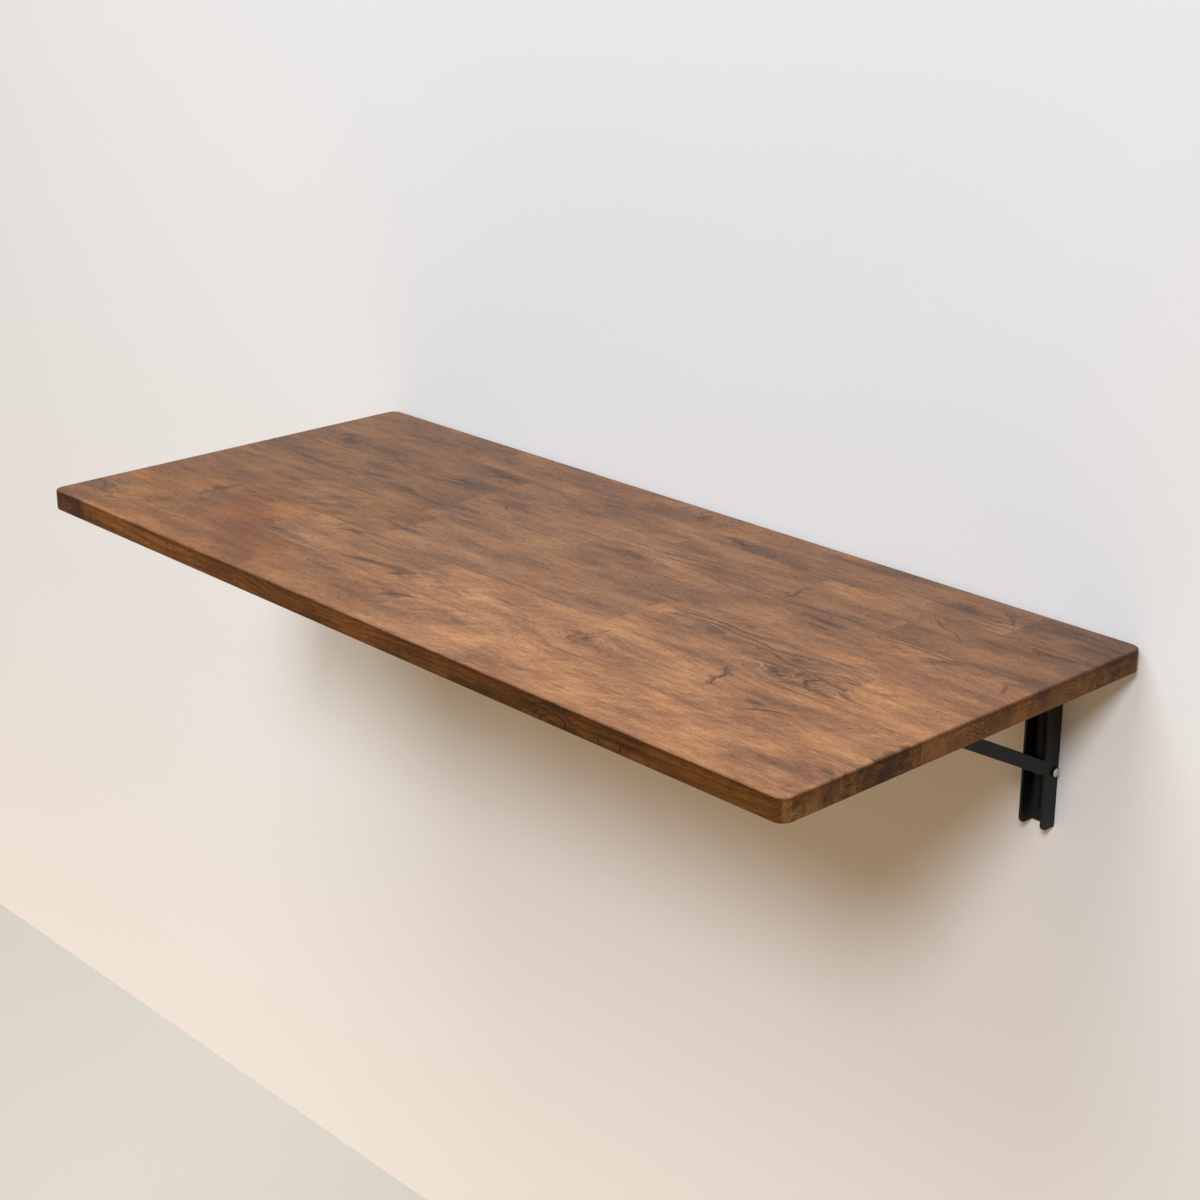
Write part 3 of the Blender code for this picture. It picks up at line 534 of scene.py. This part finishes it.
def oxide_material():
    """Blackened screw steel."""
    n = material_nodes("black_oxide")
    place = n.place()
    cloud = n.noise(place, 500, 3)
    tone = n.mix(cloud, colour(24, 23, 23), colour(52, 50, 48))
    return n.finish(Base_Color=tone, Metallic=0.7, Roughness=n.weighted(0.42, (cloud, 0.3)),
                    Normal=n.bump(cloud, 0.1, 0.0001))


def nylon_material():
    """Pale moulded nylon."""
    n = material_nodes("moulded_nylon")
    place = n.place()
    cloud = n.noise(place, 300, 3)
    grain = n.noise(place, 2600, 1)
    tone = n.mix(cloud, colour(214, 211, 202), colour(232, 229, 221))
    return n.finish(Base_Color=tone, Roughness=n.weighted(0.45, (grain, 0.2)),
                    Normal=n.bump(grain, 0.1, 0.0001))


def room_material(name, tint):
    """A plain surface that fades into the surround far away, and is clear when seen from behind."""
    n = material_nodes(name)
    place = n.place()
    mottle = n.noise(place, 3, 2)
    tone = n.mix(mottle, tint, tuple(0.985 * c for c in tint[:3]) + (1,))
    face = n.shader("BsdfDiffuse", {"Color": tone})
    far = n.times(n.range(n.length(place), *FADE, smooth=True), n.backdrop_rays())
    face = n.either(far, face, n.shader("Emission", {"Color": colour(*SURROUND)}))
    behind = n.add("NewGeometry").outputs["Backfacing"]
    seen = n.either(behind, face, n.shader("BsdfTransparent"))
    n.add("OutputMaterial", {"Surface": seen})
    return n.owner


def add_object(name, data):
    made = bpy.data.objects.new(name, data)
    bpy.context.scene.collection.objects.link(made)
    return made


def show(name, mesh, body, material, slot, *nodes):
    """Adds a finished mesh as a piece that rides on a body and stands for CAD nodes."""
    piece = add_object(name, mesh)
    mesh.materials.clear()
    mesh.materials.append(material)
    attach(piece, body)
    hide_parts(*nodes)
    return piece


def smoothed(mesh, angle=SHARP):
    mesh.polygons.foreach_set("use_smooth", [True] * len(mesh.polygons))
    mesh.set_sharp_from_angle(angle=angle)
    return mesh


def from_bmesh(bm, name):
    mesh = bpy.data.meshes.new(name)
    bm.to_mesh(mesh)
    bm.free()
    return mesh


def lines(stops, steps):
    """Coordinates that include every stop, each stretch cut into pieces of about its own step."""
    made = [stops[0]]
    for a, b, step in zip(stops, stops[1:], steps):
        count = max(1, round((b - a) / step))
        made += [a + (b - a) * k / count for k in range(1, count + 1)]
    return made


def rounded(x, y, half_x, half_y, inset):
    """A point of the plain rectangle moved onto the plan with round corners, drawn in by inset."""
    local = []
    for value, half in ((x, half_x), (y, half_y)):
        past = max(0, abs(value) - (half - CORNER_R)) / CORNER_R
        local.append((math.copysign(1, value), min(abs(value), half - CORNER_R), past))
    (sx, bx, a), (sy, by, b) = local
    reach = max(a, b)
    if a > 0 and b > 0:
        turn = math.pi / 4 * b / a if a >= b else math.pi / 2 - math.pi / 4 * a / b
        a, b = reach * math.cos(turn), reach * math.sin(turn)
    span = CORNER_R - inset
    return sx * (bx + a * span), sy * (by + b * span)


def grid_rim(columns, rows):
    """The outer points of a grid in turn, as (column, row)."""
    return ([(i, 0) for i in range(columns)] + [(columns - 1, j) for j in range(1, rows)]
            + [(i, rows - 1) for i in range(columns - 2, -1, -1)] + [(0, j) for j in range(rows - 2, 0, -1)])


def edge_profile(thick):
    """Section of the worktop's edge from its top face to its underside, as (inset, height)."""
    turns = [math.pi / 2 * k / EASE_STEPS for k in range(EASE_STEPS + 1)]
    upper = [(EASE * (1 - math.sin(t)), -EASE * (1 - math.cos(t))) for t in turns]
    drop = (thick - 2 * EASE) / SIDE_STEPS
    side = [(0, -EASE - drop * k) for k in range(1, SIDE_STEPS)]
    return upper + side + [(inset, -thick - z) for inset, z in reversed(upper)]


def worktop_mesh(middle, half_x, half_y, thick, stave_lines):
    """The worktop as one closed grid of quads, with round corners and eased edges."""
    flat_x, flat_y = half_x - CORNER_R, half_y - CORNER_R
    xs = lines((-half_x, -flat_x, flat_x, half_x), (GRID_CORNER, GRID_ALONG, GRID_CORNER))
    stops = [-half_y, -flat_y, *stave_lines, flat_y, half_y]
    ys = lines(stops, [GRID_CORNER] + [GRID_ACROSS] * (len(stops) - 3) + [GRID_CORNER])
    columns, rows = len(xs), len(ys)
    rim = grid_rim(columns, rows)
    points, faces, caps = [], [], []
    for z in (0, -thick):
        caps.append(len(points))
        points += [(*rounded(x, y, half_x, half_y, EASE), z) for y in ys for x in xs]
    for start, up in zip(caps, (True, False)):
        for j in range(rows - 1):
            for i in range(columns - 1):
                a = start + j * columns + i
                quad = (a, a + 1, a + columns + 1, a + columns)
                faces.append(quad if up else quad[::-1])
    loops = [[caps[0] + j * columns + i for i, j in rim]]
    for inset, z in edge_profile(thick)[1:-1]:
        loops.append(list(range(len(points), len(points) + len(rim))))
        points += [(*rounded(xs[i], ys[j], half_x, half_y, inset), z) for i, j in rim]
    loops.append([caps[1] + j * columns + i for i, j in rim])
    for above, below in zip(loops, loops[1:]):
        for k in range(len(rim)):
            nxt = (k + 1) % len(rim)
            faces.append((above[nxt], above[k], below[k], below[nxt]))
    mesh = bpy.data.meshes.new("worktop")
    mesh.from_pydata([Vector(p) + middle for p in points], [], faces)
    return mesh, [x + middle.x for x in xs]


def give(mesh, name, domain, values):
    """Stores one number or one vector for each face or point."""
    values = np.asarray(values, dtype=np.float32)
    kind, key = ("FLOAT", "value") if values.ndim == 1 else ("FLOAT_VECTOR", "vector")
    mesh.attributes.new(name, kind, domain).data.foreach_set(key, values.ravel())


def glued_lengths(xs):
    """For each stave its outer edge, its joints on the grid, and each length's grain shift and finish."""
    draw = random.Random(BLOCK_SEED)
    blocks = []
    for (_, joints, looks), near, far in zip(STAVES, STAVE_EDGES, STAVE_EDGES[1:]):
        cuts = [min(xs, key=lambda x: abs(x - (TOP_LEFT + joint))) for joint in joints]
        row = []
        for tone, warmth in looks:
            pith = (draw.uniform(-0.03, 0.03), draw.uniform(0.02, 0.07) * draw.choice((-1, 1)))
            shift = (draw.uniform(-4, 4), -(near + far) / 2 + pith[0], pith[1])
            row.append((shift, (tone, warmth, draw.uniform(0.3, 1))))
        blocks.append((far, cuts, row))
    return blocks


def block_attributes(mesh, xs):
    """Each face's grain shift, its tone, warmth and ring share, and its tone on the edges."""
    blocks = glued_lengths(xs)
    shifts, finishes, edges = [], [], []
    for face in mesh.polygons:
        x, y, _ = face.center
        stave = next((k for k, block in enumerate(blocks) if y >= block[0]), len(blocks) - 1)
        _, cuts, row = blocks[stave]
        shift, finish = row[sum(x > cut for cut in cuts)]
        shifts.append(shift)
        finishes.append(finish)
        on_end = abs(face.normal.x) > abs(face.normal.y)
        along = next(tone for end, tone in SIDE_BLOCKS if x - TOP_LEFT < end)
        edges.append(END_TONES[stave] if on_end else along)
    give(mesh, "block_shift", "FACE", shifts)
    give(mesh, "block_finish", "FACE", finishes)
    give(mesh, "edge_tone", "FACE", edges)


def turned(u, v, turn):
    """Lengths along and across a line turned from the grain by so many degrees."""
    c, s = math.cos(math.radians(turn)), math.sin(math.radians(turn))
    return u * c + v * s, v * c - u * s


def spread(u, v, mark):
    """How strongly one turned oval mark acts at each point, and how far across it the point lies."""
    mu, mv, long, wide, turn, strength = mark
    along, across = turned(u - mu, v - mv, turn)
    return strength * np.exp(-FALLOFF * ((along / long) ** 2 + (across / wide) ** 2)), across / wide


def stroke_fields(u, v, marks):
    """The nearest stroke at each point: half lengths along, half widths across, and its strength."""
    nearest = np.full(len(u), np.inf)
    fields = np.zeros((len(u), 3))
    for mu, mv, long, wide, turn, bow, strength in marks:
        along, across = turned(u - mu, v - mv, turn)
        across = across - bow * along ** 2 / long
        away = np.hypot(np.maximum(0, np.abs(along) - long), across)
        seen = strength * np.clip((STROKE_REACH - away) / (STROKE_FADE * STROKE_REACH), 0, 1)
        nearer = away < nearest
        nearest[nearer] = away[nearer]
        fields[nearer] = np.stack([np.abs(along) / long, across / wide, seen], 1)[nearer]
    return fields


def grain_bend(u, v):
    """How far patches and knots push the grain aside at each point."""
    bend = np.zeros(len(u))
    for mu, mv, long, wide, turn, strength in PATCHES:
        share, across = spread(u, v, (mu, mv, PATCH_REACH * long, PATCH_REACH * wide, turn, strength))
        bend += PATCH_BEND * share * np.tanh(across)
    for mu, mv, long, wide in KNOTS:
        share, across = spread(u, v, (mu, mv, KNOT_REACH * long, KNOT_REACH * wide, 0, KNOT_BEND * wide))
        bend += share * np.tanh(KNOT_REACH * across)
    return bend


def mark_attributes(mesh):
    """The figure at each point: dark, lined and pale shares, the grain's bend and the red streak."""
    spots = np.array([v.co for v in mesh.vertices])
    often_x, often_y = DRIFT_RATE
    drift_u, drift_v = (np.array([noise.noise((often_x * x, often_y * y, z)) for x, y, _ in spots])
                        for z in DRIFT_LAYERS)
    u = spots[:, 0] - TOP_LEFT + DRIFT[0] * drift_u
    v = TOP_BACK - spots[:, 1] + DRIFT[1] * drift_v
    shares = []
    for marks in (PATCHES, [(*m[:4], 0, m[4]) for m in LINES], PALES):
        shares.append(np.max([spread(u, v, mark)[0] for mark in marks], axis=0))
    give(mesh, "marks", "POINT", np.stack(shares, 1))
    for layer in range(STROKE_LAYERS):
        fields = stroke_fields(u, v, STROKES[layer::STROKE_LAYERS])
        give(mesh, f"strokes_{layer}", "POINT", fields)
    red = spread(u, v, RED)[0]
    give(mesh, "flow", "POINT", np.stack([grain_bend(u, v), red, np.zeros(len(u))], 1))
    return spots


def rim_attributes(mesh, spots, half_x, thick):
    """1 on the eased edges, 1 on the sawn ends and 1 on the long sides."""
    x, z = np.abs(spots[:, 0]), spots[:, 2]
    above_bottom = z > -thick + SLACK
    eased = ((z < -SLACK) & (z > -EASE - SLACK)) | (above_bottom & (z < -thick + EASE))
    below = (z < -0.4 * EASE) * above_bottom
    ends = np.clip((x - (half_x - END_START)) / END_SPAN, 0, 1) * below
    give(mesh, "rim", "POINT", np.stack([eased, ends, (1 - ends) * below], 1))


def add_worktop():
    low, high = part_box("bench_top")
    half_x, half_y, thick = (high.x - low.x) / 2, (high.y - low.y) / 2, high.z - low.z
    middle = Vector(((low.x + high.x) / 2, (low.y + high.y) / 2, high.z))
    stave_lines = [y - middle.y for y in reversed(STAVE_EDGES[1:-1])]
    mesh, xs = worktop_mesh(middle, half_x, half_y, thick, stave_lines)
    block_attributes(mesh, xs)
    rim_attributes(mesh, mark_attributes(mesh), half_x, thick)
    show("worktop", smoothed(mesh), "leaf", walnut_material(), "walnut_wood", "bench_top")


def thin(face):
    """True for the cut edge of the sheet, and for the small facets of holes and rounds."""
    return face.calc_area() / max(e.calc_length() for e in face.edges) < THIN


def corners(bm):
    """The sharp outer edges."""
    return [e for e in bm.edges if len(e.link_faces) == 2 and e.calc_face_angle() > SHARP and e.is_convex]


def round_off(bm, edges, radius, steps):
    made = bmesh.ops.bevel(bm, geom=edges, offset=radius, segments=steps, profile=0.5, affect="EDGES",
                           clamp_overlap=True)
    return made["faces"]


def without_empty_faces(bm):
    """Splits the many-sided faces and takes out the ones with no area."""
    bmesh.ops.triangulate(bm, faces=[f for f in bm.faces if len(f.verts) > 4])
    bmesh.ops.dissolve_degenerate(bm, dist=EMPTY, edges=bm.edges)


def eased_sheet(node):
    """A CAD node's mesh with rounded bends and lightly broken cut edges."""
    bm = bmesh.new()
    bm.from_mesh(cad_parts[node].data)
    bmesh.ops.remove_doubles(bm, verts=bm.verts, dist=SAME_POINT)
    bmesh.ops.dissolve_limit(bm, angle_limit=FLAT, verts=bm.verts, edges=bm.edges)
    worn = bm.faces.layers.float.new("edge")
    bends = [e for e in corners(bm) if e.calc_length() > BEND_LEAST and not any(map(thin, e.link_faces))]
    round_off(bm, bends, BEND_R, BEND_STEPS)
    for face in round_off(bm, corners(bm), CUT_R, CUT_STEPS):
        face[worn] = 1
    without_empty_faces(bm)
    return smoothed(from_bmesh(bm, node))


def add_sheets(coat):
    for side in ("left", "right"):
        for node, body in (("wall_plate", "wall_frame"), ("arm", "leaf"), ("brace", f"{side}_brace"),
                           ("release_lever", f"{side}_lever")):
            name = f"{node}_{side}"
            piece = show(f"{name}_sheet", eased_sheet(name), body, coat, "black_coat", name)
            piece.modifiers.new("flat faces", "WEIGHTED_NORMAL").keep_sharp = True


def closed(points, faces, name):
    """A closed mesh whose faces all look outwards."""
    bm = bmesh.new()
    corner = [bm.verts.new(p) for p in points]
    for face in faces:
        bm.faces.new([corner[k] for k in face])
    bmesh.ops.recalc_face_normals(bm, faces=bm.faces)
    return from_bmesh(bm, name)


def lathe(profile):
    """A closed turned piece along X from points (radius, x); a radius of 0 closes an end."""
    points, rings, faces = [], [], []
    for radius, x in profile:
        count = TURNED_SIDES if radius > 0 else 1
        rings.append(list(range(len(points), len(points) + count)))
        for k in range(count):
            turn = 2 * math.pi * k / TURNED_SIDES
            points.append((x, radius * math.cos(turn), radius * math.sin(turn)))
    pairs = list(zip(rings, rings[1:]))
    if profile[0][0] > 0:
        pairs.append((rings[-1], rings[0]))
    for low, high in pairs:
        for k in range(TURNED_SIDES):
            nxt = (k + 1) % TURNED_SIDES
            quad = [low[k % len(low)], low[nxt % len(low)], high[nxt % len(high)], high[k % len(high)]]
            faces.append(list(dict.fromkeys(quad)))
    return closed(points, faces, "turned")


def crown(fullness):
    """Angles up a domed head, with the share of its radius at each; the last one is the top."""
    turns = [math.pi / 2 * k / DOME_STEPS for k in range(1, DOME_STEPS)]
    return [(turn, math.cos(turn) ** fullness) for turn in turns] + [(math.pi / 2, 0)]


def dome(face, radius, height):
    """Half profile of a low rivet head from its seat to its crown, with a small round at the rim."""
    rim = 0.22 * height
    profile = [(radius - 0.5 * rim, face), (radius, face + 0.5 * rim), (radius, face + rim)]
    for turn, radial in crown(0.8):
        profile.append((radius * radial, face + rim + (height - rim) * math.sin(turn)))
    return profile


def rivet_mesh(shank, face, radius, height):
    """A rivet along X with a low head at either end; face is where the heads' undersides lie."""
    head = dome(face, radius, height)
    return smoothed(lathe([(r, -x) for r, x in reversed(head)] + [(shank, -face), (shank, face)] + head))


def ring_mesh(bore, radius, half):
    """A washer or bush along X with lightly broken edges."""
    e = min(0.4 * half, 0.0003)
    return smoothed(lathe([(bore + e, -half), (radius - e, -half), (radius, e - half), (radius, half - e),
                           (radius - e, half), (bore + e, half), (bore, half - e), (bore, e - half)]))


def pin_mesh(radius, half):
    """A plain pin along X with rounded ends."""
    e = 0.2 * radius
    end = [(radius, half - e), (radius - 0.3 * e, half - 0.3 * e), (radius - e, half), (0, half)]
    return smoothed(lathe([(r, -x) for r, x in reversed(end)] + end))


def thread_mesh(core, crest, pitch, start, tip, point):
    """A closed helical ridge along X from start almost to the tip, which follows the point's taper."""
    foot = RIDGE_FOOT * core
    section = list(zip((foot, crest, crest, foot), RIDGE_CORNERS))
    count = len(section)
    steps = int((tip - 0.2 * point - start) / pitch * THREAD_SIDES) - THREAD_SIDES
    points = []
    for t in range(steps + 1):
        turn = 2 * math.pi * t / THREAD_SIDES
        grown = min(1, max(RIDGE_LEAST, min(t, steps - t) / THREAD_SIDES))
        for radius, share in section:
            x = start + pitch * (t / THREAD_SIDES + share)
            r = (foot + (radius - foot) * grown) * min(1, (tip - x) / point)
            points.append((x, r * math.cos(turn), r * math.sin(turn)))
    faces = [tuple(range(count)), tuple(range(steps * count, steps * count + count))[::-1]]
    for t in range(steps):
        for p in range(count):
            here, beside = t * count + p, t * count + (p + 1) % count
            faces.append((here, here + count, beside + count, beside))
    return closed(points, faces, "thread")


def without(mesh, *tools):
    """The mesh with each tool cut out of it."""
    body = add_object("body", mesh)
    cutters = []
    for tool in tools:
        cutter = add_object("cutter", tool)
        step = body.modifiers.new("recess", "BOOLEAN")
        step.operation, step.object, step.solver = "DIFFERENCE", cutter, "EXACT"
        cutters.append(cutter)
    graph = bpy.context.evaluated_depsgraph_get()
    made = bpy.data.meshes.new_from_object(body.evaluated_get(graph), depsgraph=graph)
    for obj in (body, *cutters):
        bpy.data.objects.remove(obj)
    return made


def wedge(half_y, half_z, top, bottom, narrow):
    """A tapered bar for one stroke of a cross recess, sinking along X from top to bottom."""
    bm = bmesh.new()
    bmesh.ops.create_cube(bm, size=2)
    for v in bm.verts:
        share = 1 if v.co.x < 0 else narrow
        v.co = Vector((top if v.co.x < 0 else bottom, v.co.y * half_y * share, v.co.z * half_z))
    return from_bmesh(bm, "wedge")


def screw_mesh(shank, head_r, head, length, plain):
    """A pan-head wood screw along X, its head below X = 0, with a cross recess and a real thread."""
    point, core, neck = SCREW_POINT * length, SCREW_CORE * shank, SCREW_NECK * shank
    profile = [(0, length), (0.1 * core, length - 0.02 * point), (core, length - point),
               (core, plain + shank), (neck, plain), (neck, 0.2 * shank), (shank, 0),
               (0.93 * head_r, 0), (head_r, -0.09 * head), (head_r, -HEAD_RIM * head)]
    for turn, radial in crown(0.6):
        profile.append((head_r * radial, -head * (HEAD_RIM + (1 - HEAD_RIM) * math.sin(turn))))
    bar = wedge(RECESS_REACH * head_r, RECESS_HALF * head_r, -1.2 * head, -RECESS_FLOOR * head,
                RECESS_NARROWING)
    other_bar = moved(bar, (0, 0, 0), Matrix.Rotation(math.pi / 2, 4, "X"))
    bm = bmesh.new()
    bm.from_mesh(without(lathe(profile), bar, other_bar))
    without_empty_faces(bm)
    bm.from_mesh(thread_mesh(core, shank, SCREW_PITCH * shank, plain, length, point))
    return smoothed(from_bmesh(bm, "screw"))


def tube_mesh(route, radius):
    """A round wire along a route, its ends closed."""
    sides = WIRE_SIDES
    points, faces = [], []
    normal = Vector((1, 0, 0))
    for k, place in enumerate(route):
        ahead = (route[min(k + 1, len(route) - 1)] - route[max(k - 1, 0)]).normalized()
        normal = (normal - ahead * normal.dot(ahead)).normalized()
        other = ahead.cross(normal)
        for s in range(sides):
            turn = 2 * math.pi * s / sides
            points.append(place + radius * (normal * math.cos(turn) + other * math.sin(turn)))
    for k in range(len(route) - 1):
        for s in range(sides):
            a, b = k * sides + s, k * sides + (s + 1) % sides
            faces.append((a, b, b + sides, a + sides))
    faces += [tuple(range(sides))[::-1], tuple(range(len(points) - sides, len(points)))]
    mesh = bpy.data.meshes.new("wire")
    mesh.from_pydata(points, [], faces)
    return smoothed(mesh, WIRE_SHARP)


def moved(mesh, place, turn=None):
    """A copy of a mesh, turned and then put in its place."""
    made = mesh.copy()
    made.transform(Matrix.Translation(place) @ (turn or Matrix.Identity(4)))
    return made


def centre(node):
    low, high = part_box(node)
    return (low + high) / 2


def half_size(node):
    low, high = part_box(node)
    return (high - low) / 2


def spring_route():
    """Centre line of the torsion spring round its pin: one leg behind, the coil, one leg in front."""
    back, front = SPRING_LEGS
    first = math.atan2(back[1], back[0]) - math.acos(SPRING_R / math.hypot(*back))
    last = math.atan2(front[1], front[0]) + math.acos(SPRING_R / math.hypot(*front))
    while last > first - 2 * math.pi * (SPRING_TURNS - 1):
        last -= 2 * math.pi
    count = COIL_STEPS * SPRING_TURNS
    route = [Vector((-SPRING_HALF, *back))]
    for k in range(count + 1):
        angle = first + (last - first) * k / count
        along = -SPRING_HALF + 2 * SPRING_HALF * k / count
        route.append(Vector((along, SPRING_R * math.cos(angle), SPRING_R * math.sin(angle))))
    return route + [Vector((SPRING_HALF, *front))]


def add_turned(side, steel, coat, nylon):
    """Rivets, pins, bushes and washers of one bracket, each where its CAD node is."""
    for node, (body, shank, head) in RIVETS.items():
        name = f"{node}_{side}"
        half = half_size(name)
        mesh = rivet_mesh(shank, half.x - head, half.y, CROWN * head)
        show(f"{name}_turned", moved(mesh, centre(name)), body, steel, "bare_steel", name)
    name = f"slide_pin_{side}"
    half = half_size(name)
    mesh = pin_mesh(half.y, half.x)
    show(f"{name}_turned", moved(mesh, centre(name)), f"{side}_brace", steel, "bare_steel", name)
    for node, bore, material, slot in (("fold_bush", BUSH_BORE, nylon, "white_nylon"),
                                       ("brace_washer", WASHER_BORE, coat, "black_coat")):
        for flange in ("inner", "outer"):
            name = f"{node}_{side}_{flange}"
            half = half_size(name)
            mesh = moved(ring_mesh(bore, half.y, half.x), centre(name))
            show(f"{name}_turned", mesh, "wall_frame", material, slot, name)


def add_screws(side, black, zinc):
    """Screws of one bracket, each placed by the point of its CAD node."""
    to_wall, upwards = Matrix.Rotation(math.pi / 2, 4, "Z"), Matrix.Rotation(-math.pi / 2, 4, "Y")
    wall_screw, arm_screw = screw_mesh(**WALL_SCREW), screw_mesh(**ARM_SCREW)
    for height in ("upper", "lower"):
        name = f"wall_screw_{side}_{height}"
        seat = centre(name)
        seat.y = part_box(name)[1].y - WALL_SCREW["length"]
        show(f"{name}_cut", moved(wall_screw, seat, to_wall), "wall_frame", black, "black_screw", name)
    for number in range(1, 5):
        name = f"arm_screw_{side}_{number}"
        seat = centre(name)
        seat.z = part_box(name)[1].z - ARM_SCREW["length"]
        show(f"{name}_cut", moved(arm_screw, seat, upwards), "leaf", zinc, "zinc_screw", name)


def add_springs(side, steel):
    name = f"lever_spring_{side}"
    wire = moved(tube_mesh(spring_route(), SPRING_WIRE_R), centre(f"lever_pin_{side}"))
    show(f"{name}_wire", wire, f"{side}_lever", steel, "spring_steel", name)


def add_hardware(coat):
    bare, zinc, wire = (steel_material(*metal) for metal in (RIVET_STEEL, ZINC_PLATE, SPRING_STEEL))
    black, nylon = oxide_material(), nylon_material()
    for side in ("left", "right"):
        add_turned(side, bare, coat, nylon)
        add_screws(side, black, zinc)
        add_springs(side, wire)


def add_room():
    """A plain wall and floor, which neither shade the bench nor throw light back on it."""
    r = ROOM_REACH
    wall = [(-r, WALL_Y, FLOOR_Z), (r, WALL_Y, FLOOR_Z), (r, WALL_Y, r), (-r, WALL_Y, r)]
    floor = [(-r, -r, FLOOR_Z), (r, -r, FLOOR_Z), (r, r, FLOOR_Z), (-r, r, FLOOR_Z)]
    for name, outline, tint in (("wall", wall, WALL_COLOUR), ("floor", floor, FLOOR_COLOUR)):
        mesh = bpy.data.meshes.new(name)
        mesh.from_pydata(outline, [], [(0, 1, 2, 3)])
        mesh.materials.append(room_material(f"room_{name}", colour(*tint)))
        obj = add_object(f"room_{name}", mesh)
        obj.visible_shadow = False
        obj.visible_diffuse = False


def add_lamp(name, kind, place, target, power, tint, shape):
    lamp = bpy.data.lights.new(name, kind)
    lamp.energy, lamp.color = power, tint
    for key, value in shape.items():
        setattr(lamp, key, value)
    obj = add_object(name, lamp)
    obj.location = place
    obj.rotation_euler = (Vector(target) - Vector(place)).to_track_quat("-Z", "Y").to_euler()
    obj.visible_camera = False


def add_light():
    """A soft key from the right, a broad lamp above, warm light from the floor and an even surround."""
    for name, settings in LAMPS.items():
        add_lamp(name, *settings)
    world = bpy.data.worlds.new("studio")
    bpy.context.scene.world = world
    n = Nodes(world)
    soft = n.shader("Background", {"Color": WORLD_TINT, "Strength": WORLD_STRENGTH})
    pale = n.shader("Background", {"Color": colour(*SURROUND)})
    n.add("OutputWorld", {"Surface": n.either(n.backdrop_rays(), soft, pale)})


def add_camera():
    data = bpy.data.cameras.new("camera")
    data.sensor_width, data.lens = CAMERA_SENSOR, CAMERA_LENS
    camera = add_object("camera", data)
    camera.location = CAMERA_PLACE
    camera.rotation_euler = [math.radians(a) for a in CAMERA_TURN]
    bpy.context.scene.camera = camera
    bpy.context.scene.view_settings.view_transform = "Standard"


add_camera()
add_room()
add_light()
add_worktop()
powder_coat = coat_material()
add_sheets(powder_coat)
add_hardware(powder_coat)
